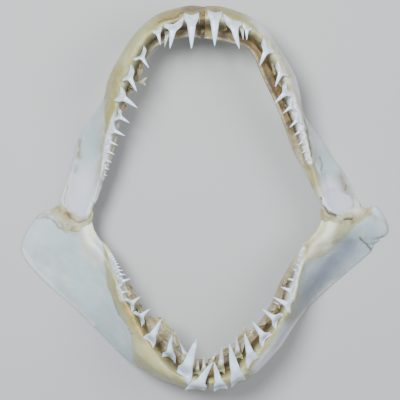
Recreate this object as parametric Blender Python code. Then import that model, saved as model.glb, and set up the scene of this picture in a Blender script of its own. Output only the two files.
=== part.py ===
"""A mako shark's dried jaws, life size, opened wide and laid on their back.

The outlines are drawn on a flat sheet in millimetres, x to the right and y down
from its top left corner, as the jaws look from straight above at EYE_HEIGHT.
A point nearer the eye looks larger, so its true place is drawn in towards the
middle of the sheet: see placed(). Heights are above the floor. Each half jaw is
a loft of sections that run from its outer edge (across 0) to its mouth edge
(across 1), from the joint to the symphysis. Its teeth are fused to it.
"""

import bmesh
import bpy
import numpy as np

MILLIMETRE = 0.001
CONTACT_GAP = 0.3

# The drawing sheet.
EYE_HEIGHT = 1400.0
TRUE_LEVEL = 50.0
SHEET_MIDDLE = (200.0, 200.0)
ORIGIN_ON_SHEET = (205.0, 198.0)

# How finely the lofts are cut.
RING_STEPS = 9
LOFT_STEPS = 34

# Sections of each half, joint first: outer edge x, y, mouth edge x, y, and how
# far the section bows towards the symphysis half way across.
UPPER_LEFT = (
    (63, 210, 90, 212, 6),
    (61, 202, 94, 205, 4),
    (61, 197, 98, 198, 1),
    (66, 183, 102, 186, 0),
    (71, 167, 106, 172, 0),
    (75, 152, 111, 156, 0),
    (79, 138, 115, 141, 0),
    (87, 124, 118, 127, 0),
    (97, 110, 121, 113, 0),
    (104, 97, 126, 99, 0),
    (107, 83, 132, 86, 0),
    (112, 70, 139, 72, 0),
    (120, 56, 145, 58, 0),
    (131, 39, 150, 50, 0),
    (143, 25, 158, 43, 0),
    (158, 14, 171, 38, 0),
    (175, 8.5, 184, 35, 0),
    (190, 5.5, 196, 35, 0),
    (199.5, 6, 200.5, 36, 0),
)
UPPER_RIGHT = (
    (359, 211, 328, 209, 6),
    (360, 204, 320, 201, 4),
    (356, 197, 317, 195, 1),
    (350, 184, 311, 185, 0),
    (343, 171, 306, 172, 0),
    (334, 159, 300, 161, 0),
    (326, 146, 294, 149, 0),
    (317, 134, 290, 137, 0),
    (308, 121, 286, 124, 0),
    (302, 107, 281, 111, 0),
    (300, 93, 275, 97, 0),
    (296, 79, 268, 83, 0),
    (289, 64, 262, 69, 0),
    (279, 48, 256, 55, 0),
    (268, 32, 247, 45, 0),
    (254, 19, 236, 42, 0),
    (238, 11.5, 226, 39, 0),
    (221, 6.5, 214, 37, 0),
    (205.5, 6, 204.5, 36, 0),
)
LOWER_LEFT = (
    (55, 212, 91, 221, 13),
    (44, 211, 92, 226, 15),
    (32, 223, 95, 233, 11),
    (22, 243, 101, 241, 4),
    (25, 259, 107, 247, 1),
    (39, 276, 112, 255, 0),
    (57, 293, 117, 266, 0),
    (76, 309, 122, 278, 0),
    (92, 325, 129, 291, 0),
    (107, 340, 139, 307, 0),
    (120, 353, 149, 324, 0),
    (135, 365, 160, 337, 0),
    (152, 375, 171, 348, 0),
    (170, 383, 183, 357, 0),
    (187, 388, 194, 361, 0),
    (203, 390, 203, 362, 0),
)
LOWER_RIGHT = (
    (362, 214, 322, 216, 9),
    (376, 206, 320, 223, 14),
    (385, 218, 316, 230, 10),
    (388, 232, 309, 239, 4),
    (378, 245, 303, 246, 0),
    (366, 256, 299, 254, 0),
    (353, 267, 294, 262, 0),
    (339, 279, 288, 272, 0),
    (324, 292, 282, 283, 0),
    (310, 304, 277, 295, 0),
    (300, 317, 272, 307, 0),
    (291, 331, 264, 320, 0),
    (281, 346, 253, 332, 0),
    (268, 361, 242, 341, 0),
    (252, 376, 230, 350, 0),
    (232, 386, 218, 358, 0),
    (209, 390, 208, 362, 0),
)

# Heights and thicknesses along a half, by station: (stations, values). Across a
# section come the outer edge, the ridge of the blade, the crest that bears the
# teeth, the trough behind them and the mouth edge.
UPPER = {
    "outer height": ((0, 2, 5, 7, 8, 10, 13, 18), (7, 0, 0, 5, 18, 42, 54, 58)),
    "ridge height": ((0, 2, 5, 8, 10, 13, 18), (36, 34, 38, 52, 66, 77, 83)),
    "crest height": ((0, 2, 5, 8, 10, 13, 18), (43, 44, 51, 60, 68, 77, 85)),
    "trough height": ((0, 2, 5, 8, 10, 13, 18), (43, 44, 47, 49, 52, 57, 63)),
    "mouth height": ((0, 2, 5, 8, 10, 13, 18), (41, 41, 43, 46, 49, 53, 57)),
    "outer thickness": ((0, 6, 8, 10, 13, 18), (5, 5, 10, 26, 34, 36)),
    "ridge thickness": ((0, 4, 8, 10, 13, 18), (10, 8, 18, 32, 40, 44)),
    "crest thickness": ((0, 4, 8, 10, 13, 18), (9, 12, 20, 30, 38, 42)),
    "trough thickness": ((0, 4, 8, 10, 13, 18), (8, 8, 9, 14, 19, 23)),
    "mouth thickness": ((0, 4, 8, 10, 13, 18), (6, 6, 7, 10, 14, 16)),
    "ridge share": ((0, 5, 6, 8, 10, 18), (0.8, 0.8, 0.72, 0.5, 0.45, 0.45)),
    "edge power": ((0, 6, 10, 18), (9, 9, 3, 2.6)),
}
LOWER = {
    "outer height": ((0, 2, 8, 10, 12, 14, 16), (3, 0, 0, 9, 32, 54, 62)),
    "ridge height": ((0, 3, 5, 8, 10, 12, 16), (36, 34, 36, 46, 59, 74, 85)),
    "crest height": ((0, 3, 5, 8, 10, 12, 16), (39, 43, 48, 59, 68, 77, 87)),
    "trough height": ((0, 3, 5, 8, 10, 12, 16), (38, 41, 44, 48, 51, 55, 64)),
    "mouth height": ((0, 3, 5, 8, 10, 12, 16), (35, 38, 41, 45, 47, 50, 57)),
    "outer thickness": ((0, 7, 10, 12, 16), (5, 5, 10, 26, 40)),
    "ridge thickness": ((0, 4, 8, 10, 12, 16), (14, 9, 13, 24, 38, 46)),
    "crest thickness": ((0, 4, 8, 10, 12, 16), (13, 13, 20, 30, 40, 46)),
    "trough thickness": ((0, 4, 8, 10, 12, 16), (11, 9, 9, 13, 18, 24)),
    "mouth thickness": ((0, 4, 8, 10, 12, 16), (8, 7, 7, 9, 12, 16)),
    "ridge share": ((0, 6, 8, 10, 12, 16), (0.77, 0.84, 0.75, 0.6, 0.45, 0.45)),
    "edge power": ((0, 7, 11, 16), (9, 9, 4, 4.5)),
}
TROUGH_SHARE = 0.6

# How far across the crest lies. The right half is turned more to the side.
CREST_ACROSS = {
    "upper_left": ((0, 5, 8, 11, 14, 18), (0.88, 0.86, 0.74, 0.62, 0.5, 0.42)),
    "upper_right": ((0, 4, 5, 7, 9, 12, 14, 18), (0.88, 0.8, 0.7, 0.48, 0.36, 0.34, 0.38, 0.4)),
    "lower_left": ((0, 6, 9, 12, 14, 16), (0.86, 0.9, 0.8, 0.6, 0.32, 0.24)),
    "lower_right": ((0, 5, 7, 8, 10, 12, 14, 16), (0.86, 0.88, 0.78, 0.68, 0.5, 0.44, 0.32, 0.24)),
}
PROFILES = {"upper": UPPER, "lower": LOWER}
SECTIONS = {
    "upper_left": UPPER_LEFT,
    "upper_right": UPPER_RIGHT,
    "lower_left": LOWER_LEFT,
    "lower_right": LOWER_RIGHT,
}
LAST_STATION = {"upper": 18, "lower": 16}

# Large teeth from the symphysis back, on the sheet: tip x, y, then the ends of the
# root's two lobes, x, y each.
LARGE_TEETH = {
    "upper_left": (
        (191.5, 49, 184, 12, 199, 11.5),
        (169.8, 48.8, 164.5, 22.6, 184, 16.5),
        (160.5, 44.9, 152.3, 30.2, 161.2, 24.2),
        (149.1, 67.9, 133, 58.5, 143.6, 44.5),
        (136.8, 91.7, 121.4, 78.5, 131, 63),
        (137.7, 108.1, 113, 99.5, 120, 86),
        (129.8, 123.1, 111.6, 119.5, 118, 107.3),
        (125, 136, 106.5, 133.8, 110.8, 122),
    ),
    "upper_right": (
        (214.7, 46.3, 207.6, 8, 222.3, 9.5),
        (239.5, 49, 222.8, 12.2, 240.6, 20.2),
        (246.7, 40.4, 242.6, 22, 252, 27.6),
        (259.5, 66.1, 264, 37, 275.3, 50),
        (275.2, 87, 278.3, 58.5, 289.6, 74.5),
        (274.5, 103.4, 286.2, 81, 294.5, 94.5),
        (282.4, 113.8, 292.8, 96, 298, 110.8),
        (289.4, 127.6, 298.8, 110.8, 302.8, 123.5),
    ),
    "lower_left": (
        (211, 362, 185, 389.5, 197.5, 391.5),
        (196.9, 338.2, 176.4, 373, 188, 389.2),
        (172.2, 334.1, 162.2, 357, 175.2, 364.4),
        (161.5, 318.8, 142.4, 339.5, 153.1, 348.8),
        (150.7, 308.3, 132.2, 312.8, 141.4, 327),
        (140.6, 296.3, 123.6, 299.5, 131.5, 312.7),
        (127.6, 291, 118.4, 288.5, 120.8, 298.2),
        (130.9, 278.5, 116.2, 277.6, 118.2, 287.8),
    ),
    "lower_right": (
        (213.7, 361.5, 214.4, 393, 228, 390.5),
        (229.4, 343.8, 232, 389.4, 245.7, 381.6),
        (244.6, 333.1, 247.8, 370, 258.8, 358.7),
        (252.3, 321.5, 263.1, 349, 272.8, 335.8),
        (261.8, 308.7, 276.8, 330.4, 284.4, 315.2),
        (273.1, 297.1, 291.5, 314.4, 294.6, 300.2),
        (280.4, 286.8, 293.2, 298.4, 296.8, 286.2),
        (286.9, 278.4, 296, 285.4, 297.6, 276.6),
    ),
}

# Small rear teeth: the first and the last one in the same terms, and how many.
REAR_TEETH = {
    "upper_left": ((118, 145.5, 104.4, 145, 106, 135), (107.3, 176, 102.4, 177, 103.2, 170.6), 5),
    "upper_right": ((294, 135.6, 299.8, 125.5, 304.2, 134.6), (304.5, 160.5, 308.6, 154.4, 311.4, 160.6), 4),
    "lower_left": ((126, 274.5, 115.4, 270.2, 116.4, 278), (114.5, 256, 109.4, 254.6, 111, 260), 7),
    "lower_right": ((292.2, 268.5, 297.4, 276, 299.2, 267.6), (300.6, 251, 302.6, 255.2, 304.4, 249.8), 5),
}
REAR_SPACING_RATIO = 0.88

# Replacement teeth stand in the trough behind the large ones: how far behind and
# how long in millimetres, their width as a share, and the rise of their tips.
REPLACEMENT_STEP = 6.0
REPLACEMENT_LENGTH = 12.0
REPLACEMENT_WIDTH = 0.5
REPLACEMENT_RISE = 0.15
REPLACED = 6

# Rings of a tooth from its tip back: how far as a share of its length, the part
# of the half width that goes with the length, the part that goes with the root's
# width, the half thickness as a share of the half width, and how far the middle is
# notched towards the tip as a share of the root's width. Small teeth skip the first.
TOOTH_ROWS = (
    (0.25, 0.07, 0.0, 0.5, 0.0),
    (0.52, 0.125, 0.0, 0.5, 0.0),
    (0.7, 0.0, 0.38, 0.34, 0.03),
    (0.86, 0.0, 0.48, 0.26, 0.12),
    (1.0, 0.0, 0.5, 0.18, 0.25),
)
SMALL_TOOTH = 10.0
TOOTH_SIDES = 8
SMALL_TOOTH_SIDES = 6
LINGUAL_SHARE = 0.7
TIP_RISE = {"upper": 0.2, "lower": 0.36}
SWAY = 0.05
TURN_FROM = 0.55

# A tooth's seat is the highest place under this much of it, and it sinks by this
# share of its root's width.
SEAT_SHARES = (0.0, 0.15, 0.3, 0.45)
SEAT_NEARNESS = 4
ROOT_SINK_RATIO = 0.07
LABIAL_LIFT = 1.0

# The dried membrane on the mouth side of each tooth row: its thickness in the
# middle and at its rims, the loft's rings that it spans, and the columns.
MEMBRANE_THICKNESS = 3.6
MEMBRANE_RIM = 0.9
MEMBRANE_FIRST_RING = 10
MEMBRANE_LAST_RING = LOFT_STEPS - 2
MEMBRANE_COLUMNS = np.arange(RING_STEPS, RING_STEPS + 5)

# How deep the joints and the symphyses are half way across, as a share of their ends.
JOINT_DEPTH = 1.25
SYMPHYSIS_DEPTH = 0.85
BRIDGE_RINGS = 5

COLOURS = {
    "cartilage": ((0.78, 0.80, 0.74, 1.0), 0.45),
    "ligament": ((0.50, 0.43, 0.22, 1.0), 0.55),
    "membrane": ((0.38, 0.27, 0.12, 1.0), 0.4),
}


def smooth_curve(x, keys, values):
    """Monotone cubic through the keys, so that it never overshoots them."""
    keys = np.asarray(keys, float)
    values = np.asarray(values, float)
    slopes = np.diff(values) / np.diff(keys)
    before = np.insert(slopes, 0, slopes[0])
    after = np.append(slopes, slopes[-1])
    tangents = np.where(before * after <= 0, 0.0, 0.5 * (before + after))
    limit = 3 * np.minimum(np.abs(before), np.abs(after))
    tangents = np.clip(tangents, -limit, limit)
    x = np.clip(x, keys[0], keys[-1])
    i = np.clip(np.searchsorted(keys, x, side="right") - 1, 0, len(keys) - 2)
    width = keys[i + 1] - keys[i]
    t = (x - keys[i]) / width
    return (
        (2 * t**3 - 3 * t**2 + 1) * values[i]
        + (t**3 - 2 * t**2 + t) * width * tangents[i]
        + (3 * t**2 - 2 * t**3) * values[i + 1]
        + (t**3 - t**2) * width * tangents[i + 1]
    )


def free_curve(x, values):
    """Cubic through values at 0, 1, 2 ..., with the mean slope at each."""
    values = np.asarray(values, float)
    tangents = np.gradient(values)
    i = np.clip(np.floor(x).astype(int), 0, len(values) - 2)
    t = x - i
    return (
        (2 * t**3 - 3 * t**2 + 1) * values[i]
        + (t**3 - 2 * t**2 + t) * tangents[i]
        + (3 * t**2 - 2 * t**3) * values[i + 1]
        + (t**3 - t**2) * tangents[i + 1]
    )


def placed(sheet_x, sheet_y, height):
    """True x, y, z of a point that the sheet shows at sheet_x, sheet_y."""
    shrink = (EYE_HEIGHT - height) / (EYE_HEIGHT - TRUE_LEVEL)
    x = (sheet_x - SHEET_MIDDLE[0]) * shrink + SHEET_MIDDLE[0] - ORIGIN_ON_SHEET[0]
    y = (SHEET_MIDDLE[1] - sheet_y) * shrink + ORIGIN_ON_SHEET[1] - SHEET_MIDDLE[1]
    return np.stack([x, y, height + 0 * x], axis=-1)


def section_values(profile, station, across):
    """Middle height and half thickness of the section, for every point across it."""
    here = {name: smooth_curve(station, *curve) for name, curve in profile.items()}
    middle = np.empty((len(station), len(across)))
    half = np.empty_like(middle)
    for row in range(len(station)):
        value = {name: curve[row] for name, curve in here.items()}
        crest = value["crest across"]
        ridge = crest * value["ridge share"]
        keys = (0.0, ridge, crest, crest + TROUGH_SHARE * (1 - crest), 1.0)
        places = ("outer", "ridge", "crest", "trough", "mouth")
        thick = np.array([value[place + " thickness"] for place in places])
        centre = np.array([value[place + " height"] for place in places])
        centre[1:-1] -= 0.5 * thick[1:-1]
        rounding = np.sqrt(1.0 - np.abs(2 * across - 1) ** value["edge power"])
        middle[row] = smooth_curve(across, keys, centre)
        half[row] = 0.5 * smooth_curve(across, keys, thick) * rounding
    return middle, half


def half_jaw_rings(stations, profile, last_station):
    """Rings of the loft: along the top from outer to mouth edge, back underneath."""
    table = np.array(stations, float)
    along = np.linspace(0, len(table) - 1, LOFT_STEPS)
    station = along * last_station / (len(table) - 1)
    columns = [free_curve(along, table[:, k])[:, None] for k in range(5)]
    across = 0.5 - 0.5 * np.cos(np.linspace(0, np.pi, RING_STEPS + 1))
    middle, half = section_values(profile, station, across)
    bow = columns[4] * 4 * across * (1 - across)
    sheet_x = columns[0] + (columns[2] - columns[0]) * across
    sheet_y = columns[1] + (columns[3] - columns[1]) * across + bow
    top = placed(sheet_x, sheet_y, np.maximum(middle + half, 0.0))
    under = placed(sheet_x, sheet_y, np.maximum(middle - half, 0.0))
    return np.concatenate([top, under[:, -2:0:-1]], axis=1)


def loft_faces(ring_count, ring_size):
    """Triangles between neighbouring rings, and a strip of them at either end."""
    faces = []
    for j in range(ring_count - 1):
        for i in range(ring_size):
            a = j * ring_size + i
            b = j * ring_size + (i + 1) % ring_size
            faces.append((a, b, b + ring_size))
            faces.append((a, b + ring_size, a + ring_size))
    for base, flip in ((0, True), ((ring_count - 1) * ring_size, False)):
        for i in range(ring_size // 2):
            near = base + i
            far = base + (ring_size - i) % ring_size
            next_near = base + i + 1
            next_far = base + ring_size - i - 1
            for face in ((near, next_near, next_far), (near, next_far, far)):
                if len(set(face)) == 3:
                    faces.append(face[::-1] if flip else face)
    return faces


def outward_normals(rings):
    """Unit normals of a loft's points, pointing away from each ring's middle."""
    around = np.roll(rings, -1, axis=1) - np.roll(rings, 1, axis=1)
    along = np.gradient(rings, axis=0)
    normals = np.cross(around, along)
    normals /= np.linalg.norm(normals, axis=2, keepdims=True) + 1e-12
    outward = rings - rings.mean(axis=1, keepdims=True)
    sign = np.sign((normals * outward).sum(axis=(1, 2)))
    return normals * sign[:, None, None]


def solid(name, points, faces, finish, collection):
    """One closed object, its faces turned outwards."""
    mesh = bpy.data.meshes.new(name)
    mesh.from_pydata((np.asarray(points).reshape(-1, 3) * MILLIMETRE).tolist(), [], faces)
    work = bmesh.new()
    work.from_mesh(mesh)
    bmesh.ops.remove_doubles(work, verts=work.verts, dist=1e-6)
    bmesh.ops.dissolve_degenerate(work, edges=work.edges, dist=1e-6)
    bmesh.ops.triangulate(work, faces=work.faces)
    bmesh.ops.recalc_face_normals(work, faces=work.faces)
    if work.calc_volume(signed=True) < 0:
        bmesh.ops.reverse_faces(work, faces=work.faces)
    work.to_mesh(mesh)
    work.free()
    mesh.materials.append(finish)
    piece = bpy.data.objects.new(name, mesh)
    collection.objects.link(piece)
    return piece


def finish_material(name):
    colour, roughness = COLOURS[name]
    material = bpy.data.materials.new(name)
    material.use_nodes = True
    shader = material.node_tree.nodes["Principled BSDF"]
    shader.inputs["Base Color"].default_value = colour
    shader.inputs["Roughness"].default_value = roughness
    shader.inputs["Metallic"].default_value = 0.0
    material.diffuse_color = colour
    return material


def loft(name, rings, finish, collection):
    return solid(name, rings, loft_faces(*rings.shape[:2]), finish, collection)


def unit(vector):
    return vector / np.linalg.norm(vector)


def tooth_rings(root, tip, labial, run, width):
    """A tooth as rings from near its tip to the ends of its root's two lobes.

    A ring is a lens, flatter on the mouth side. The root's rings are notched in
    the middle, so that two lobes stand out at its corners, and turn from square
    to the tooth to the line between the lobes.
    """
    small = width < SMALL_TOOTH
    sides = SMALL_TOOTH_SIDES if small else TOOTH_SIDES
    axis = unit(tip - root)
    length = np.linalg.norm(tip - root)
    labial = unit(labial - axis * (labial @ axis))
    side = np.cross(axis, labial)
    run = run * np.sign(run @ side)
    angle = 2 * np.pi * np.arange(sides) / sides
    across = np.cos(angle)
    face = np.sin(angle)
    face = np.where(face > 0, face, LINGUAL_SHARE * face)
    rings = []
    for share, of_length, of_width, flatness, notch in TOOTH_ROWS[int(small):]:
        half_width = of_length * length + of_width * width
        turned = max((share - TURN_FROM) / (1 - TURN_FROM), 0.0)
        wide = unit((1 - turned) * side + turned * run) * half_width
        deep = labial * flatness * half_width
        bend = SWAY * length * np.sin(np.pi * share)
        centre = tip - axis * length * share - labial * bend
        ring = centre + np.outer(across, wide) + np.outer(face, deep)
        rings.append(ring + np.outer(notch * width * (1 - np.abs(across)), axis))
    return np.array(rings)


def surface_at(rings, normals, sheet_x, sheet_y):
    """Height and normal of a half jaw's upper side at a place on the sheet."""
    top = slice(0, RING_STEPS + 1)
    surface = rings[:, top]
    goal = placed(np.array(float(sheet_x)), np.array(float(sheet_y)), surface[..., 2])
    away = np.linalg.norm(surface[..., :2] - goal[..., :2], axis=-1)
    weight = 1.0 / (away + 1.0) ** SEAT_NEARNESS
    height = float((surface[..., 2] * weight).sum() / weight.sum())
    normal = (normals[:, top] * weight[..., None]).sum(axis=(0, 1))
    return height, unit(normal)


def tooth(name, chart, rings, rise, finish, collection):
    """One tooth, set on the upper side so that its crown clears the crest."""
    tip_sheet, lobe_a, lobe_b = np.array(chart, float).reshape(3, 2)
    root_sheet = 0.5 * (lobe_a + lobe_b)
    reach = tip_sheet - root_sheet
    length = np.hypot(*reach)
    width = np.hypot(*(lobe_b - lobe_a))
    normals = outward_normals(rings)
    heights = []
    for share in SEAT_SHARES:
        height, normal = surface_at(rings, normals, *(root_sheet + share * reach))
        heights.append(height - rise * length * share)
    normal = surface_at(rings, normals, *root_sheet)[1]
    level = max(heights) - ROOT_SINK_RATIO * width
    root = placed(*root_sheet, level)
    tip = placed(*tip_sheet, level + rise * length)
    run = unit(placed(*lobe_b, level) - placed(*lobe_a, level))
    labial = normal + np.array([0.0, 0.0, LABIAL_LIFT])
    rows = tooth_rings(root, tip, labial, run, width)
    count, size = rows.shape[:2]
    points = np.concatenate([tip[None], rows.reshape(-1, 3), rows[-1].mean(axis=0)[None]])
    faces = [(0, 1 + i, 1 + (i + 1) % size) for i in range(size)]
    for j in range(count - 1):
        for i in range(size):
            a = 1 + j * size + i
            b = 1 + j * size + (i + 1) % size
            faces += [(a, b, b + size), (a, b + size, a + size)]
    end = len(points) - 1
    base = 1 + (count - 1) * size
    faces += [(end, base + (i + 1) % size, base + i) for i in range(size)]
    return solid(name, points, faces, finish, collection)


def replacement(chart):
    """The tooth that waits behind the one in the chart, further into the mouth."""
    tip, lobe_a, lobe_b = np.array(chart, float).reshape(3, 2)
    middle = 0.5 * (lobe_a + lobe_b)
    reach = unit(tip - middle)
    root = middle + REPLACEMENT_STEP * reach
    half = 0.5 * REPLACEMENT_WIDTH * (lobe_b - lobe_a)
    return (*(root + REPLACEMENT_LENGTH * reach), *(root - half), *(root + half))


def rear_teeth(first, last, count):
    """The small rear teeth, closer together towards the joint."""
    shares = np.cumsum(np.append(0.0, REAR_SPACING_RATIO ** np.arange(count - 1)))
    shares /= shares[-1]
    first = np.array(first, float)
    last = np.array(last, float)
    return [tuple(first + (last - first) * share) for share in shares]


def keep_largest_surface(piece):
    """Drop whatever isn't part of the piece's largest connected surface."""
    work = bmesh.new()
    work.from_mesh(piece.data)
    left = set(work.faces)
    shells = []
    while left:
        shell = {left.pop()}
        edge = list(shell)
        while edge:
            near = {f for e in edge.pop().edges for f in e.link_faces} & left
            left -= near
            shell |= near
            edge += near
        shells.append(shell)
    largest = max(shells, key=len)
    spare = [face for shell in shells if shell is not largest for face in shell]
    bmesh.ops.delete(work, geom=spare, context="FACES")
    work.to_mesh(piece.data)
    work.free()


def fuse(piece, teeth, collection):
    """Join the teeth to the piece in one union, and remove the loose ones."""
    bpy.context.view_layer.update()
    join = piece.modifiers.new("teeth", "BOOLEAN")
    join.operation = "UNION"
    join.operand_type = "COLLECTION"
    join.collection = collection
    join.solver = "EXACT"
    united = piece.evaluated_get(bpy.context.evaluated_depsgraph_get())
    fused = bpy.data.meshes.new_from_object(united)
    piece.modifiers.clear()
    piece.data = fused
    for loose in teeth:
        bpy.data.objects.remove(loose)
    bpy.data.collections.remove(collection)
    keep_largest_surface(piece)


def half_jaw(name, rings, charts, finish, collection):
    """A half jaw with its teeth, from pairs of a tooth's chart and its tip's rise."""
    piece = loft(name, rings, finish, collection)
    loose = bpy.data.collections.new(name + "_teeth")
    bpy.context.scene.collection.children.link(loose)
    teeth = [
        tooth(f"{name}_tooth_{k}", chart, rings, rise, finish, loose)
        for k, (chart, rise) in enumerate(charts)
    ]
    fuse(piece, teeth, loose)
    return piece


def membrane(name, rings, finish, collection):
    """A strip of dried membrane over the mouth side of a half jaw."""
    normals = outward_normals(rings)
    rows = slice(MEMBRANE_FIRST_RING, MEMBRANE_LAST_RING + 1)
    base = rings[rows][:, MEMBRANE_COLUMNS]
    normal = normals[rows][:, MEMBRANE_COLUMNS]
    swell = np.sin(np.linspace(0, np.pi, len(MEMBRANE_COLUMNS)))
    thickness = MEMBRANE_RIM + (MEMBRANE_THICKNESS - MEMBRANE_RIM) * swell
    inside = base + normal * CONTACT_GAP
    outside = base + normal * (CONTACT_GAP + thickness[:, None])
    strip = np.concatenate([inside, outside[:, ::-1]], axis=1)
    count, size = strip.shape[:2]
    half = size // 2
    faces = []
    for j in range(count - 1):
        for i in range(size):
            a = j * size + i
            b = j * size + (i + 1) % size
            faces += [(a, b, b + size), (a, b + size, a + size)]
    for base_index in (0, (count - 1) * size):
        for i in range(half - 1):
            a = base_index + i
            b = base_index + size - 1 - i
            faces += [(a, a + 1, b - 1), (a, b - 1, b)]
    return solid(name, strip, faces, finish, collection)


def bridge(name, ring_a, ring_b, depth, finish, collection):
    """A body between the ends of two half jaws, face to face with both.

    Its depth half way across is the given share of the depth at its ends.
    """
    towards = ring_b - ring_a
    towards /= np.linalg.norm(towards, axis=1, keepdims=True)
    start = ring_a + towards * CONTACT_GAP
    end = ring_b - towards * CONTACT_GAP
    share = np.linspace(0, 1, BRIDGE_RINGS)[:, None, None]
    rings = start + (end - start) * share
    opposite = (-np.arange(rings.shape[1])) % rings.shape[1]
    middle = 0.5 * (rings[..., 2] + rings[:, opposite, 2])
    scale = 1 + (depth - 1) * np.sin(np.pi * share[..., 0])
    rings[..., 2] = np.maximum(middle + (rings[..., 2] - middle) * scale, 0.0)
    return loft(name, rings, finish, collection)


def build():
    for old in list(bpy.data.objects):
        bpy.data.objects.remove(old)
    jaws = bpy.data.collections.new("mako_jaw")
    bpy.context.scene.collection.children.link(jaws)
    finish = {name: finish_material(name) for name in COLOURS}
    rings = {}
    for half, stations in SECTIONS.items():
        level = half.split("_")[0]
        profile = dict(PROFILES[level])
        profile["crest across"] = CREST_ACROSS[half]
        rings[half] = half_jaw_rings(stations, profile, LAST_STATION[level])
    for half, half_rings in rings.items():
        large = LARGE_TEETH[half]
        row = large + tuple(rear_teeth(*REAR_TEETH[half]))
        charts = [(chart, TIP_RISE[half.split("_")[0]]) for chart in row]
        charts += [(replacement(chart), REPLACEMENT_RISE) for chart in large[1:REPLACED]]
        half_jaw("jaw_" + half, half_rings, charts, finish["cartilage"], jaws)
        membrane("membrane_" + half, half_rings, finish["membrane"], jaws)
    for side in ("left", "right"):
        upper = rings["upper_" + side]
        lower = rings["lower_" + side]
        bridge("joint_ligament_" + side, lower[0], upper[0], JOINT_DEPTH, finish["ligament"], jaws)
    for level in ("upper", "lower"):
        left = rings[level + "_left"]
        right = rings[level + "_right"]
        bridge(level + "_symphysis", left[-1], right[-1], SYMPHYSIS_DEPTH, finish["ligament"], jaws)


build()
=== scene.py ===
"""A mako shark's dried jaws, life size, opened wide and laid on their back.

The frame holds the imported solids. Each operator below makes one kind of piece
over them: cartilage, teeth, membranes, scraps, joints, and the stage. Shapes are
drawn on a sheet in millimetres, x to the right and y down, as seen from EYE_HEIGHT
above the floor, and placed() turns a sheet place and a height into a true one.
"""

import bmesh
import bpy
import numpy as np
from bpy.props import FloatProperty, FloatVectorProperty, PointerProperty
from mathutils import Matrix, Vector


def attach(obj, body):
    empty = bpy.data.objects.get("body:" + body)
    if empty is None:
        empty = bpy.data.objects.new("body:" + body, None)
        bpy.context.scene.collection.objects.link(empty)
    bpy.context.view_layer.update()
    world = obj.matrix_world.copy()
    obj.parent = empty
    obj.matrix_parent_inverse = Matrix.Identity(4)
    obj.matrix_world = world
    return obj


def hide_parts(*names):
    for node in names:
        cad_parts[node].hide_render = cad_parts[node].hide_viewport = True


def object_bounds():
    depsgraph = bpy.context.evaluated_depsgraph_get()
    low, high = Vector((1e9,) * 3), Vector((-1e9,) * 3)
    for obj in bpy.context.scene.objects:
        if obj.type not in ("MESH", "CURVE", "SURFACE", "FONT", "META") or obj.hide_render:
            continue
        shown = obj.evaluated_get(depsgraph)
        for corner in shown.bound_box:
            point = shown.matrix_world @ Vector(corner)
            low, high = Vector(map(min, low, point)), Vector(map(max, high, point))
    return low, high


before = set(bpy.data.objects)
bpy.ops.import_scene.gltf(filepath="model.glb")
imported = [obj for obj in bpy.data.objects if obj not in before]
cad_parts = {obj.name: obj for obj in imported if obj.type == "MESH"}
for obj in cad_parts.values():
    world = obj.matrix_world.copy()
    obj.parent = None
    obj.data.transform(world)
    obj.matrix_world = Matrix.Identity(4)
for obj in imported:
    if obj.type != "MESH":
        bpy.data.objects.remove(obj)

CAD_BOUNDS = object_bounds()

bl_info = {
    "name": "Mako Jaw",
    "version": (1, 0, 0),
    "blender": (4, 5, 0),
    "location": "3D View > Sidebar > Jaw",
    "description": "Builds the dried jaws of a mako shark over their solids",
    "category": "Add Mesh",
}

MILLIMETRE = 0.001

# The drawing sheet.
EYE_HEIGHT = 1400.0
TRUE_LEVEL = 50.0
SHEET_MIDDLE = (200.0, 200.0)
ORIGIN_ON_SHEET = (205.0, 198.0)
SHEET_SIZE = 400.0

# Cells along each side of the noise's lattice, which then repeats.
NOISE_CELLS = 16

# How finely the cartilage and the seats of the teeth are cut.
JAW_ROWS = 300
JAW_COLUMNS = 88
SEAT_ROWS = 150
SEAT_COLUMNS = 48
SEAT_REACH = 22.0
SEAT_SPREAD = 1.3
EDGE_CLUSTERING = 0.55

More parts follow.
